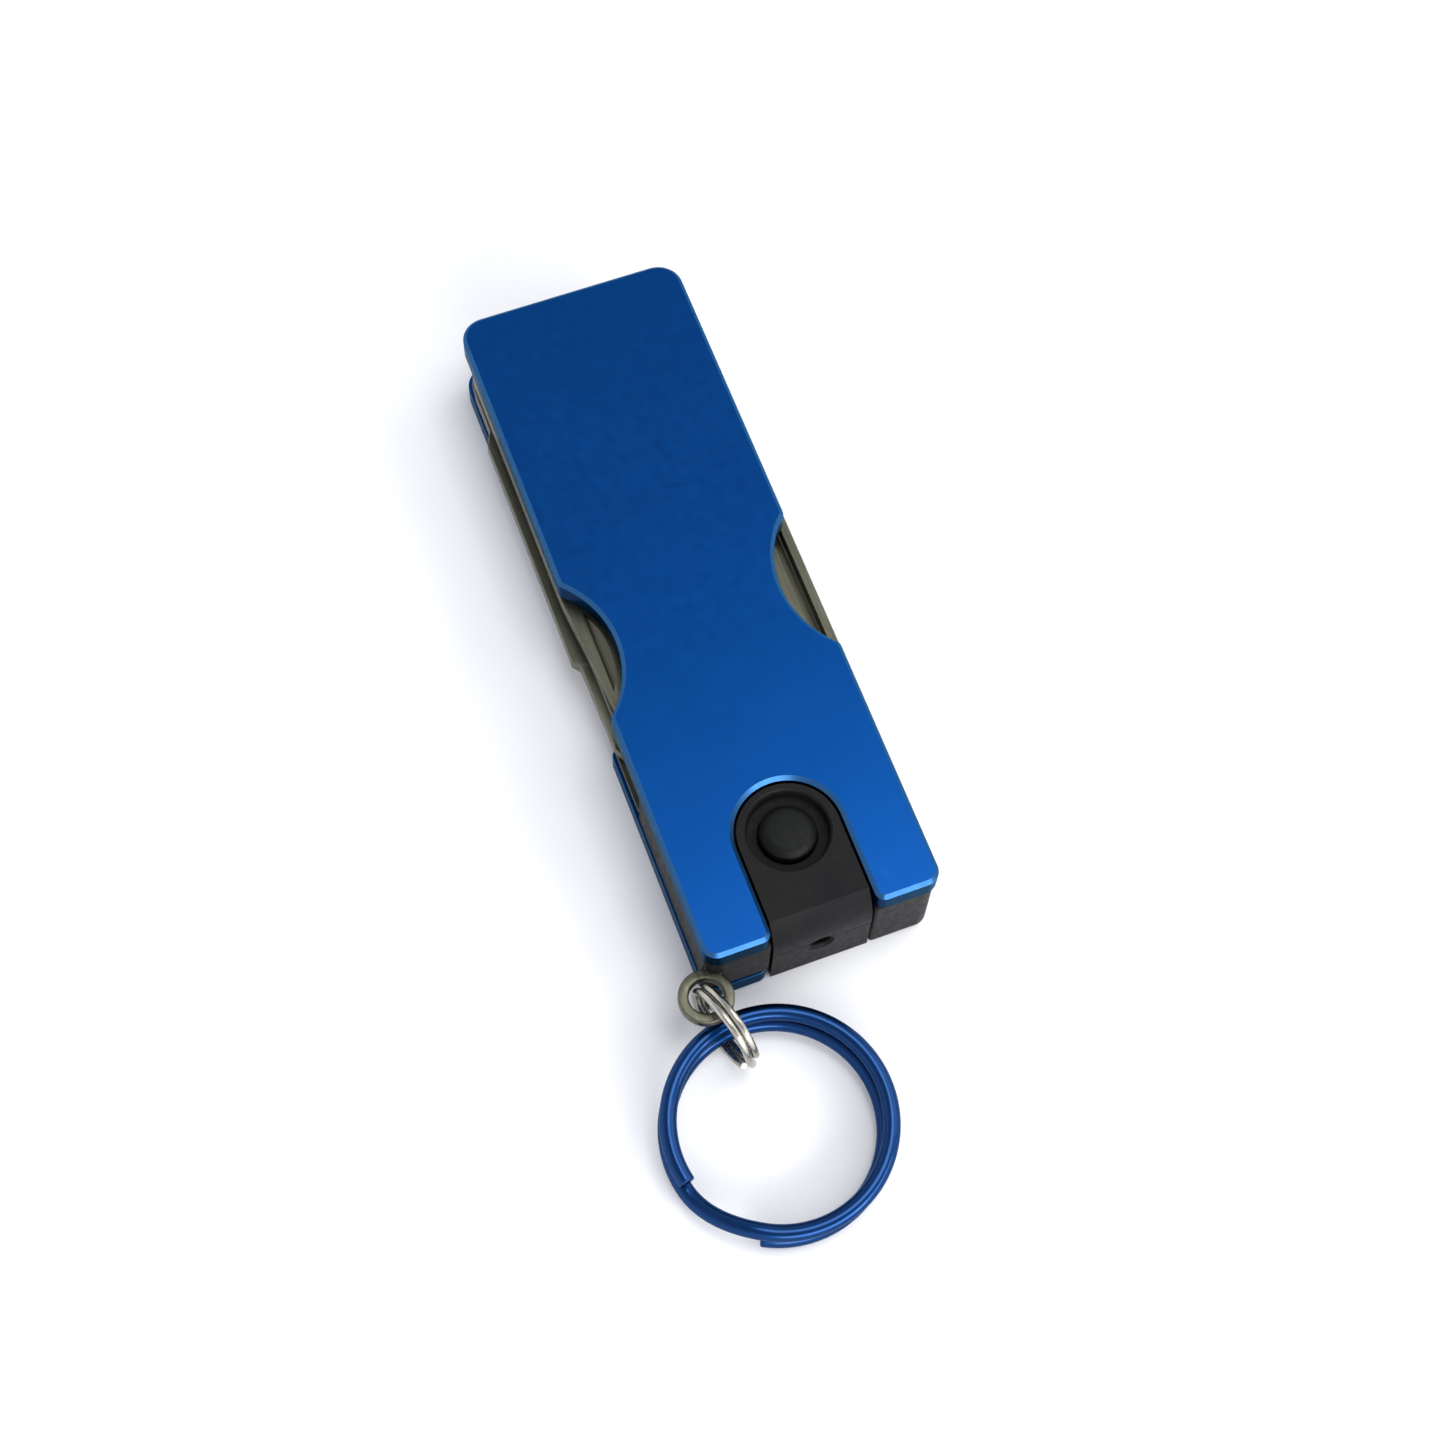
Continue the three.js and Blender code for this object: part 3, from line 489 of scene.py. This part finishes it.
def button_rubber():
    f = Finish("button_rubber", (0.0022, 0.0026, 0.0024), 0.5, Specular_IOR_Level=0.16)
    f.tint(f.noise(500, 4, 0.6), (0.002, 0.0024, 0.0022), (0.0031, 0.0035, 0.0033))
    f.roughness(f.noise(2200, 4, 0.6, 1.0), 0.42, 0.6)
    f.bump((f.noise(9000, 2, 0.5, 2.0), 0.004))
    return f.material


def brass_contact():
    f = Finish("brass_contact", (0.62, 0.46, 0.18), 0.28, 1.0)
    f.tint(f.noise(900, 4, 0.6), (0.5, 0.35, 0.12), (0.7, 0.53, 0.24))
    f.roughness(f.noise((6000, 300, 6000), 4, 0.6, 1.0), 0.2, 0.4)
    return f.material


def led_epoxy():
    f = Finish("led_epoxy", (0.93, 0.95, 0.9), 0.04, IOR=1.54, Transmission_Weight=0.95)
    f.roughness(f.noise(1500, 3, 0.5), 0.02, 0.08)
    return f.material


def floor_white():
    f = Finish("floor_white", (0.86, 0.86, 0.87), 0.75, Specular_IOR_Level=0.1)
    f.tint(f.noise(35, 3, 0.5), (0.85, 0.85, 0.865), (0.87, 0.87, 0.88))
    f.bump((f.noise(2200, 3, 0.6), 0.01))
    return f.material


finishes = {
    "blue_anodised": blue_anodised(),
    "tool_steel": tool_steel(),
    "bright_steel": bright_steel(),
    "blue_wire": blue_wire(),
    "black_plastic": black_plastic(),
    "button_rubber": button_rubber(),
    "brass_contact": brass_contact(),
    "led_epoxy": led_epoxy(),
}

for part in frame["record"]["subparts"]:
    node = frame["nodes"][part["node"]]
    for i in range(max(1, len(node.material_slots))):
        if node.material_slots:
            node.material_slots[i].material = finishes[part["material_slot"]]
        else:
            node.data.materials.append(finishes[part["material_slot"]])

# ---- pieces --------------------------------------------------------------------------------


def slab(name, outline, low, high):
    """A plain closed prism. low and high are heights, or functions of (x, y)."""
    bm = bmesh.new()
    rims = []
    for height in (low, high):
        z = height if callable(height) else lambda x, y, value=height: value
        rims.append([bm.verts.new((x * MM, y * MM, z(x, y) * MM)) for x, y in outline])
    lower, upper = rims
    for i in range(len(outline)):
        bm.faces.new((lower[i - 1], lower[i], upper[i], upper[i - 1]))
    flat = [[Vector((x, y, 0)) for x, y in outline]]
    for a, b, c in tessellate_polygon(flat):
        bm.faces.new((lower[a], lower[b], lower[c]))
        bm.faces.new((upper[a], upper[b], upper[c]))
    return new_object(name, bm)


def rod(name, x, y, radius, low, high, sides=48):
    return lathe(name, [(0, low), (radius, low), (radius, high), (0, high)], x, y, sides)


def pin_circles(*names):
    places = {
        "pivots": [(-PIVOT_X, PIVOT_Y, PIVOT_RADIUS), (PIVOT_X, PIVOT_Y, PIVOT_RADIUS)],
        "blocks": [(-BLOCK_PIN_X, BLOCK_PIN_Y, SMALL_PIN), (BLOCK_PIN_X, BLOCK_PIN_Y, SMALL_PIN)],
        "spring": [(0, SPRING_PIN_Y, SMALL_PIN)],
    }
    return [circle(x, y, radius + PIN_CLEARANCE) for name in names for x, y, radius in places[name]]


def bevel_edges(obj, width, test, segments=3):
    """Rounds the sharp edges whose middles pass the test, in millimetres."""
    bm = bmesh.new()
    bm.from_mesh(obj.data)
    bmesh.ops.remove_doubles(bm, verts=bm.verts, dist=1e-7)
    bmesh.ops.dissolve_limit(bm, angle_limit=0.01, verts=bm.verts, edges=bm.edges)
    sharp = [e for e in bm.edges if len(e.link_faces) == 2 and e.calc_face_angle(0) > math.radians(24)
             and test((e.verts[0].co + e.verts[1].co) / 2 / MM)]
    bmesh.ops.bevel(bm, geom=sharp, offset=width * MM, segments=segments, profile=0.5, affect="EDGES",
                    clamp_overlap=True)
    bm.to_mesh(obj.data)
    bm.free()
    return obj


# Scales: thick plates with bevelled outer rims and blind pockets for the pins.


def make_scale(name, right_tab, low, bottom, top, pocket_low, pocket_high):
    outline = scale_outline(right_tab)
    scale = prism(name + "_cover", outline, low, low + SCALE_THICKNESS, bottom=bottom, top=top, steps=1)
    pins = pin_circles("pivots", "blocks", "spring")
    pockets = [slab("pocket", loop, pocket_low, pocket_high) for loop in pins]
    keep(cut(scale, *pockets), "body", "blue_anodised", name)


make_scale("top_scale", -HALF_LENGTH, HEIGHT - SCALE_THICKNESS, SCALE_INNER_TOP, SCALE_BEVEL, 8.0, 9.8)
make_scale("bottom_scale", SHORT_TAB_Y, 0, SCALE_BEVEL, SCALE_INNER_BOTTOM, 1.2, 3.0)

# Liners, springs and the plate that carries the lug.


def make_liner(name, low):
    half = HALF_WIDTH - LINER_INSET
    far = HALF_LENGTH - LINER_INSET
    outline = rounded([
        (half, far, FAR_CORNER),
        (-half, far, FAR_CORNER),
        *notch(-1, half, NOTCH_RADIUS + LINER_INSET, 0.3),
        (-half, BAY_NEAR, 0.3),
        (half, BAY_NEAR, 0.3),
        *notch(1, half, NOTCH_RADIUS + LINER_INSET, 0.3),
    ])
    sheet = prism(name + "_sheet", outline, low, low + LINER_THICKNESS, pin_circles("pivots", "spring"))
    keep(sheet, "body", "tool_steel", name)


def make_back_spring(name, low):
    outline = rounded([
        (1.9, 33.5, 0.2),
        (1.15, 33.5, 0.2),
        (1.15, 8, 1.12),
        (-1.15, 8, 1.12),
        (-1.15, 33.5, 0.2),
        (-1.9, 33.5, 0.2),
        (-1.9, BAY_NEAR + 0.2, 0.3),
        (1.9, BAY_NEAR + 0.2, 0.3),
    ])
    leaf = prism(name + "_leaf", outline, low, low + TOOL_THICKNESS, pin_circles("spring"))
    keep(leaf, "body", "tool_steel", name)


def plate_outline(margin=0.0):
    """The centre plate with its arms and lug, or the room for them in the side blocks."""
    lug = LUG_RADIUS + margin
    neck_x = -10.7 - margin
    reach = math.sqrt(lug ** 2 - (neck_x - LUG_X) ** 2)
    start = math.degrees(math.atan2(reach, neck_x - LUG_X))
    around = arc(LUG_X, LUG_Y, lug, start, LUG_ARC_END, 6)
    far = HALF_LENGTH - LINER_INSET
    return rounded([
        (PLATE_RIGHT, far, FAR_CORNER),
        (PLATE_LEFT, far, FAR_CORNER),
        (PLATE_LEFT, BAY_NEAR, 0.3),
        (-9.6 - margin, BAY_NEAR, 0.2),
        (-9.6 - margin, -30.8, 0.3),
        (neck_x, -32, 0.3),
        *plain(around),
        (-6.4 + margin, -31.5 - margin, 0.5),
        (-6.4 + margin, BAY_NEAR, 0.2),
        (6.4 - margin, BAY_NEAR, 0.2),
        (6.4 - margin, -29.8 - margin, 0.3),
        (9.6 + margin, -29.8 - margin, 0.3),
        (9.6 + margin, BAY_NEAR, 0.2),
        (PLATE_RIGHT, BAY_NEAR, 0.3),
    ])


def make_centre_plate():
    holes = pin_circles("pivots", "blocks", "spring") + [circle(LUG_X, LUG_Y, LUG_HOLE)]
    plate = prism("centre_plate_lug", plate_outline(), PLATE_BOTTOM, PLATE_TOP, holes, 0.2, 0.2, 4)
    keep(plate, "body", "tool_steel", "centre_plate")


for layer, low in (("upper", UPPER_LINER), ("lower", LOWER_LINER)):
    make_liner(layer + "_liner", low)
for layer, low in (("upper", UPPER_TOOL), ("lower", LOWER_TOOL)):
    make_back_spring(layer + "_back_spring", low)
make_centre_plate()

# Folding tools, closed. The outlines are for the left side and are flipped for the right.

TANG_END = [
    (-PIVOT_X + TANG, PIVOT_Y + TANG, TANG - 0.05),
    (-PIVOT_X - TANG, PIVOT_Y + TANG, TANG - 0.05),
]
KNIFE = [
    *TANG_END,
    (-10.9, 4.1, 30),
    (-9.7, -9.5, 25),
    (-8.7, -15.5, 0.2),
    (-2.6, -7.5, 9),
    (-2.6, 19.6, 0.3),
    (-3.5, 20.4, 0.4),
    (-3.5, 21.6, 0.4),
    (-2.5, 22.4, 0.3),
]
OPENER = [
    *TANG_END,
    (-10.9, 25.5, 0.5),
    (-SPREAD, 24, 0.5),
    (-SPREAD, -0.3, 0.2),
    (-11, -1.1, 0.4),
    (-10.8, -10, 1.5),
    (-9.3, -12.6, 1),
    (-3.4, -12.6, 0.8),
    (-2.7, -9.2, 0.3),
    (-5.2, -8.8, 0.6),
    (-6.4, -6.6, 1.2),
    (-5.0, -3.8, 1.2),
    (-2.6, -2.6, 0.5),
]
FILE = flipped([
    *TANG_END,
    (-10.9, 25.5, 0.5),
    (-SPREAD, 24, 0.5),
    (-SPREAD, -10.4, 0.8),
    (-9.4, -12.4, 0.8),
    (-9.0, -15.6, 0.2),
    (-4.6, -15.6, 0.2),
    (-4.2, -12.2, 0.8),
    (-2.6, -10, 0.8),
])
DRIVER = flipped([
    *TANG_END,
    (-10.9, -8.4, 1),
    (-9.3, -10.4, 0.8),
    (-9.3, -13.4, 0.3),
    (-7.9, -15.4, 0.2),
    (-7.1, -15.4, 0.2),
    (-5.7, -13.4, 0.3),
    (-5.7, 10.5, 1),
    (-2.6, 14.5, 1),
])


def tool_blank(name, corners, side, low, *holes, rim=0.1):
    pivot = circle(side * PIVOT_X, PIVOT_Y, PIVOT_RADIUS + PIN_CLEARANCE)
    return prism(name, rounded(corners, 6), low, low + TOOL_THICKNESS, [pivot, *holes], rim, rim, 3)


def nail_nick(side, outer_x, middle_y, half_length, depth, face, outwards, floor=0.5):
    """A half-moon cutter: deepest along its straight outer side, running out at its bow."""
    radius = (half_length ** 2 + depth ** 2) / (2 * depth)
    reach = math.degrees(math.asin(half_length / radius))
    bow = arc(-outer_x + depth - radius, middle_y, radius, -reach, reach, 3)
    outline = bow if side < 0 else [(-x, 2 * middle_y - y) for x, y in bow]
    slope = lambda x, y: face - outwards * floor * (1 - 0.85 * (outer_x - abs(x)) / depth)
    clear = face + outwards * 1.0
    return slab("nick", outline, slope if outwards > 0 else clear, clear if outwards > 0 else slope)


def taper(low, start_y, end_y, edge):
    """Two cutters that thin a tool to a given edge thickness between two y values."""
    middle = low + TOOL_THICKNESS / 2
    outline = [(-13, end_y - 2), (13, end_y - 2), (13, start_y + 0.6), (-13, start_y + 0.6)]
    fall = (TOOL_THICKNESS - edge) / 2 / (start_y - end_y)
    above = lambda x, y: middle + edge / 2 + fall * (y - end_y)
    below = lambda x, y: middle - edge / 2 - fall * (y - end_y)
    return [slab("above", outline, above, middle + 4), slab("below", outline, middle - 4, below)]


def grind(low, path, width, edge, rise):
    """A wedge swept along the cutting edge, on the upper (rise 1) or the lower (rise -1) face."""
    middle = low + TOOL_THICKNESS / 2
    fall = (TOOL_THICKNESS - edge) / 2 / width
    bm = bmesh.new()
    rings = []
    for i, point in enumerate(path):
        along = (Vector(path[min(i + 1, len(path) - 1)]) - Vector(path[max(i - 1, 0)])).normalized()
        inward = Vector((along.y, -along.x))
        ring = []
        for reach, climb in ((-0.6, -0.6), (width + 0.4, width + 0.4), (-0.6, width + 0.4)):
            x, y = Vector(point) + inward * reach
            height = middle + rise * (edge / 2 + fall * climb)
            ring.append(bm.verts.new((x * MM, y * MM, height * MM)))
        rings.append(ring)
    for a, b in zip(rings, rings[1:]):
        for k in range(3):
            bm.faces.new((a[k - 1], a[k], b[k], b[k - 1]))
    bm.faces.new(rings[0])
    bm.faces.new(rings[-1])
    return new_object("grind", bm)


def make_knife():
    top = UPPER_TOOL + TOOL_THICKNESS
    path = rounded([(-2.6, 19.3, 0), (-2.6, -7.5, 9), (-9.4, -16.42, 0)], 4)
    blade = tool_blank("knife_blade_ground", KNIFE, -1, UPPER_TOOL)
    wedges = [grind(UPPER_TOOL, path, 4.4, 0.12, rise) for rise in (1, -1)]
    nick = nail_nick(-1, 9.45, -1.75, 4.3, 1.15, top, 1)
    keep(cut(blade, *wedges, nick), "knife", "tool_steel", "knife_blade", sharp=25)


def make_opener():
    blade = tool_blank("bottle_opener_hook", OPENER, -1, LOWER_TOOL, rim=0.14)
    nick = nail_nick(-1, 9.4, -5.6, 3.2, 1, LOWER_TOOL, -1)
    tip = taper(LOWER_TOOL, -9.4, -12.6, 0.7)
    keep(cut(blade, nick, *tip), "opener", "tool_steel", "bottle_opener", sharp=25)


def file_teeth(face, outwards):
    """Slanting V-shaped grooves across the middle of the file, as one cutter."""
    bm = bmesh.new()
    pitch, depth, half = 0.62, 0.14, 0.24
    for i in range(26):
        y = 8.2 + i * pitch
        ends = []
        for x, shift in ((3.6, -1.2), (10.6, 1.2)):
            ends.append([bm.verts.new((x * MM, (y + shift + dy) * MM, (face + outwards * dz) * MM))
                         for dy, dz in ((0, -depth), (half * 1.5, depth * 0.5), (-half * 1.5, depth * 0.5))])
        for k in range(3):
            bm.faces.new((ends[0][k - 1], ends[0][k], ends[1][k], ends[1][k - 1]))
        bm.faces.new(ends[0])
        bm.faces.new(ends[1])
    return new_object("teeth", bm)


def make_file():
    slot = rounded([(9.7, -9.2, 0.5), (10.75, -9.2, 0.5), (10.75, 6.6, 0.5), (9.7, 6.6, 0.5)])
    blade = tool_blank("nail_file_slotted", FILE, 1, UPPER_TOOL, slot)
    teeth = [file_teeth(UPPER_TOOL + TOOL_THICKNESS, 1), file_teeth(UPPER_TOOL, -1)]
    tip = taper(UPPER_TOOL, -11.6, -15.6, 0.6)
    keep(cut(blade, *teeth, *tip), "file", "tool_steel", "nail_file", sharp=25)


def make_driver():
    blade = tool_blank("cross_driver_tip", DRIVER, 1, LOWER_TOOL)
    nick = nail_nick(1, 9.9, -2.6, 4.3, 1.1, LOWER_TOOL, -1)
    tip = taper(LOWER_TOOL, -12.2, -15.4, 0.8)
    keep(cut(blade, nick, *tip), "driver", "tool_steel", "cross_driver", sharp=25)


make_knife()
make_opener()
make_file()
make_driver()

# The light: side blocks, a two-part housing, button, battery cap and LED.


def make_foot():
    """The toe of the right block, in front of the bottom scale's short tab."""
    back = SHORT_TAB_Y - 0.05
    outline = rounded([
        (BLOCK_INNER, back, 0),
        (BLOCK_INNER, BLOCK_FRONT, BLOCK_EDGE),
        (BLOCK_OUTER, BLOCK_FRONT, BLOCK_CORNER),
        (BLOCK_OUTER, back, 0),
    ], 5)
    foot = slab("foot", outline, FOOT_BOTTOM, BLOCK_BOTTOM + 0.6)
    return bevel_edges(foot, MOULDED_ROUND, lambda p: p.z < FOOT_BOTTOM + 0.01 and p.y < back - 0.05, 4)


def make_side_block(name, side):
    corners = [
        (-BLOCK_INNER, POD_BACK, BLOCK_EDGE),
        (-BLOCK_OUTER, POD_BACK, BLOCK_EDGE),
        (-BLOCK_OUTER, BLOCK_FRONT, BLOCK_CORNER),
        (-BLOCK_INNER, BLOCK_FRONT, BLOCK_EDGE),
    ]
    pin_hole = circle(side * BLOCK_PIN_X, BLOCK_PIN_Y, SMALL_PIN + PIN_CLEARANCE)
    outline = rounded(corners if side < 0 else flipped(corners), 5)
    part = prism(name + "_moulding", outline, BLOCK_BOTTOM, BLOCK_TOP, [pin_hole],
                 MOULDED_ROUND, MOULDED_ROUND, 4)
    if side > 0:
        combine(part, [make_foot()], "UNION")
    room = slab("room", plate_outline(PLATE_CLEARANCE),
                PLATE_BOTTOM - PLATE_CLEARANCE, PLATE_TOP + PLATE_CLEARANCE)
    keep(cut(part, room), "body", "black_plastic", name)


def housing_blank(name, low, high):
    """Half of the housing's outer shape: arched body, tail and nose."""
    arch = [*arc(0, U_CENTRE_Y, POD_HALF, 0, 180, 4), (-POD_HALF, POD_FRONT), (POD_HALF, POD_FRONT)]
    body = slab(name, arch, low, high)
    tail_low, tail_high = max(low, BLOCK_BOTTOM), min(high, BLOCK_TOP)
    tail = block("tail", -POD_HALF, POD_HALF, MODULE_Y - 2, POD_BACK, tail_low, tail_high)
    combine(body, [tail], "UNION")
    rise, lean = POD_HIGH - NOSE_Z, RIDGE_Y - POD_FRONT
    radius = (rise ** 2 + lean ** 2) / (2 * lean)
    sweep = math.degrees(math.asin(rise / radius))
    profile = [(POD_BACK + 1, -1), (POD_BACK + 1, POD_HIGH + 1), (RIDGE_Y + 0.95, POD_HIGH + 1),
               *arc(POD_FRONT + radius, NOSE_Z, radius, 180 - sweep, 180, 3), (POD_FRONT, -1)]
    limit = slab("limit", profile, -12, 12)
    limit.data.transform(Matrix(((0, 0, 1, 0), (1, 0, 0, 0), (0, 1, 0, 0), (0, 0, 0, 1))))
    return combine(body, [limit], "INTERSECT")


def led_room():
    """The LED's chamber and the flared hole in front of it, as cutters."""
    room = LED_RADIUS + 0.1
    chamber = [(0, LED_FRONT - 0.05), (room, LED_FRONT - 0.05), (room, MODULE_Y), (0, MODULE_Y)]
    hole = [
        (0, POD_FRONT - 1),
        (1.3, POD_FRONT - 1),
        (1.3, POD_FRONT - 0.02),
        (1.22, POD_FRONT + 0.06),
        (1.0, POD_FRONT + 0.3),
        (1.0, LED_FRONT + 0.1),
        (0, LED_FRONT + 0.1),
    ]
    return [lathe("chamber", chamber, along_y=LED_Z), lathe("hole", hole, along_y=LED_Z)]


def lead_room(low, high):
    return block("lead_room", -0.5, 0.5, -29.2, MODULE_Y, low, high)


def make_upper_housing():
    shell = housing_blank("pod_upper_moulding", SPLIT_HIGH, POD_HIGH)
    bevel_edges(shell, SPLIT_ROUND, lambda p: p.z < SPLIT_HIGH + 0.01)
    bevel_edges(shell, HOUSING_ROUND, lambda p: p.z > SPLIT_HIGH + 0.2, 4)
    recess = [(0, 9.1), (3.75, 9.1), (3.75, 10.4), (3.95, 10.62), (3.95, 12), (0, 12)]
    cutters = [
        lathe("recess", round_profile(recess, [0, 0.35, 0.15, 0, 0, 0]), 0, MODULE_Y, FINE_SIDES),
        rod("button_room", 0, MODULE_Y, 2.72, 8.2, 9.3, 64),
        rod("cavity", 0, MODULE_Y, CAVITY_RADIUS, 0, CAVITY_TOP, 64),
        lead_room(0, 7.5),
        *led_room(),
    ]
    keep(cut(shell, *cutters), "body", "black_plastic", "pod_upper_shell", sharp=35)


def make_lower_housing():
    shell = housing_blank("pod_lower_moulding", POD_LOW, SPLIT_LOW)
    bevel_edges(shell, SPLIT_ROUND, lambda p: p.z > SPLIT_LOW - 0.01)
    bevel_edges(shell, HOUSING_ROUND, lambda p: p.z < SPLIT_LOW - 0.2, 4)
    cap_room = [(0, -1), (4.0, -1), (4.0, 0.18), (3.75, 0.42), (3.75, 1.1), (0, 1.1)]
    cutters = [
        rod("cavity", 0, MODULE_Y, CAVITY_RADIUS, CELL_FLOOR, 12, 64),
        lathe("cap_room", cap_room, 0, MODULE_Y, FINE_SIDES),
        lead_room(CELL_FLOOR, 12),
        *led_room(),
    ]
    keep(cut(shell, *cutters), "body", "black_plastic", "pod_lower_shell", sharp=35)


def make_battery_cap():
    disc = [(0, CELL_FLOOR), (3.7, CELL_FLOOR), (3.7, 0.25), (3.0, 0.25), (2.9, 0.33), (0, 0.33)]
    cap = lathe("battery_cap_disc", round_profile(disc, [0, 0.1, 0.18, 0, 0, 0]), 0, MODULE_Y, FINE_SIDES)
    slot = [*arc(-2.1, MODULE_Y, 0.5, 90, 270, 15), *arc(2.1, MODULE_Y, 0.5, -90, 90, 15)]
    keep(cut(cap, slab("slot", slot, -1, 0.68)), "body", "black_plastic", "battery_cap")


def make_button():
    corners = [(0, 7.7), (3.1, 7.7), (3.1, 8.2), (2.6, 8.2), (2.6, 9.95), (1.9, 10.55), (0, 10.68)]
    profile = round_profile(corners, [0, 0.1, 0.1, 0, 0.45, 0.8, 0], 8)
    cap = lathe("push_button_cap", profile, 0, MODULE_Y, FINE_SIDES)
    keep(cap, "button", "button_rubber", "push_button", sharp=60)


def make_led():
    length = LED_BACK - LED_FRONT
    dome = [(LED_RADIUS * math.cos(math.radians(a)), length - 1.3 + 1.3 * math.sin(math.radians(a)))
            for a in range(0, 90, 10)]
    profile = [(0, 0), (LED_RADIUS, 0), *dome, (0, length)]
    lens = lathe("led_lens", [(r, -h + LED_BACK) for r, h in profile], sides=48, along_y=LED_Z)
    keep(lens, "body", "led_epoxy", "led", sharp=50)


make_side_block("side_block_left", -1)
make_side_block("side_block_right", 1)
make_upper_housing()
make_lower_housing()
make_battery_cap()
make_button()
make_led()

# Rings.


def two_turns(start, gap, radius, rise, count, growth=0.0, shift=Vector((0, 0))):
    """A wire wound almost twice, as in the CAD: it crosses over between its two ends."""
    full = 2 * math.pi
    gap = math.radians(gap)
    points = []
    for i in range(count + 1):
        travelled = i / count * (2 * full - gap)
        t = min(1, max(0, (travelled - full + gap) / gap))
        crossed = t * t * (3 - 2 * t)
        upward = 0.5 - crossed
        angle = math.radians(start) - travelled
        wide = radius + growth * upward
        x = wide * math.cos(angle) + shift.x * upward
        y = wide * math.sin(angle) + shift.y * upward
        points.append(Vector((x, y, rise * upward)))
    return points


def make_link_ring():
    x, y = LINK_HEADING
    centre_z = LINK_RADIUS + LINK_WIRE / 2 + REST_GAP
    ahead = math.sqrt(LINK_RADIUS ** 2 - (HEIGHT / 2 - centre_z) ** 2) - LINK_SEAT
    centre = Vector((LUG_X + x * ahead, LUG_Y + y * ahead, centre_z))
    axes = Matrix(((x, 0, y), (y, 0, -x), (0, 1, 0)))
    turns = two_turns(LINK_START, LINK_GAP, LINK_RADIUS, LINK_WIRE + REST_GAP, 200)
    wire = tube("link_ring_wire", [axes @ p + centre for p in turns], LINK_WIRE / 2)
    keep(wire, "link", "bright_steel", "link_ring")


def make_key_ring():
    reach = KEY_RADIUS + (KEY_WIRE + KEY_SHIFT.length) / 2
    tilt = math.asin(KEY_LIFT / (2 * reach))
    towards_lug = math.atan2(LUG_Y - KEY_Y, LUG_X - KEY_X)
    lean = Matrix.Rotation(tilt, 3, Vector((math.sin(towards_lug), -math.cos(towards_lug), 0)))
    lowest = (KEY_RISE + KEY_WIRE) / 2 * math.cos(tilt) + reach * math.sin(tilt) + REST_GAP
    turns = two_turns(KEY_START, KEY_GAP, KEY_RADIUS, KEY_RISE, 240, KEY_GROWTH, KEY_SHIFT)
    points = [lean @ p + Vector((KEY_X, KEY_Y, lowest)) for p in turns]
    wire = tube("key_ring_wire", points, KEY_WIRE / 2 - KEY_WIRE_INSET, 32)
    keep(wire, "keys", "blue_wire", "key_ring")


make_link_ring()
make_key_ring()

# ---- camera, light and floor -----------------------------------------------------------------


def add_camera():
    """The camera that fits the body's corners, without lens shift."""
    azimuth, elevation, roll = (math.radians(a) for a in (-23.8613, 65.775, -3.4903))
    distance = 237.4085
    back = Vector((math.sin(azimuth) * math.cos(elevation), -math.cos(azimuth) * math.cos(elevation),
                   math.sin(elevation)))
    right = Vector((math.cos(azimuth), math.sin(azimuth), 0))
    up = back.cross(right)
    data = bpy.data.cameras.new("camera")
    data.sensor_width = 36
    data.lens = 64.86975779
    data.clip_start = 0.01
    camera = bpy.data.objects.new("camera", data)
    bpy.context.scene.collection.objects.link(camera)
    turned_right = right * math.cos(roll) - up * math.sin(roll)
    turned_up = right * math.sin(roll) + up * math.cos(roll)
    axes = Matrix((turned_right, turned_up, back)).transposed().to_4x4()
    target = Vector((-0.7435, -11.3866, 5.5)) - turned_right * 0.136 + turned_up * 0.073
    camera.matrix_world = Matrix.Translation((target + back * distance) * MM) @ axes
    bpy.context.scene.camera = camera


def add_area(name, place, aim, size, power, color=(1, 1, 1), size_y=None):
    data = bpy.data.lights.new(name, "AREA")
    data.shape = "RECTANGLE"
    data.size = size
    data.size_y = size_y or size
    data.energy = power
    data.color = color
    light = bpy.data.objects.new(name, data)
    bpy.context.scene.collection.objects.link(light)
    light.location = place
    light.rotation_euler = (Vector(place) - Vector(aim)).to_track_quat("Z", "Y").to_euler()


def add_floor():
    bm = bmesh.new()
    bmesh.ops.create_grid(bm, x_segments=8, y_segments=8, size=3)
    floor = new_object("floor", bm)
    floor.location.z = -0.00002
    floor.data.materials.append(floor_white())


def add_world():
    """A soft studio: bright near the horizon, dimmer overhead."""
    world = bpy.data.worlds.new("studio")
    bpy.context.scene.world = world
    world.use_nodes = True
    tree = world.node_tree
    place = tree.nodes.new("ShaderNodeTexCoord")
    split = tree.nodes.new("ShaderNodeSeparateXYZ")
    tree.links.new(place.outputs["Generated"], split.inputs[0])
    ramp = tree.nodes.new("ShaderNodeValToRGB")
    tree.links.new(split.outputs["Z"], ramp.inputs[0])
    ramp.color_ramp.elements[0].position = 0.0
    ramp.color_ramp.elements[0].color = (1.14, 1.16, 1.21, 1)
    ramp.color_ramp.elements[1].position = 1.0
    ramp.color_ramp.elements[1].color = (0.26, 0.27, 0.3, 1)
    tree.links.new(ramp.outputs[0], tree.nodes["Background"].inputs["Color"])
    tree.nodes["Background"].inputs["Strength"].default_value = 1.35


add_camera()
add_floor()
add_world()
add_area("key", (0.42, 0.0, 0.36), (0, 0, 0), 0.3, 0.5, (1.0, 0.985, 0.96))
add_area("overhead", (0.12, -0.01, 0.6), (0, -0.02, 0), 0.3, 1.4)
add_area("side", (0.34, -0.36, 0.24), (0, 0, 0), 0.3, 0.6, size_y=0.12)
add_area("front", (0.08, -0.5, 0.2), (0, 0, 0), 0.5, 2.0, size_y=0.16)
bpy.context.scene.view_settings.view_transform = "Standard"
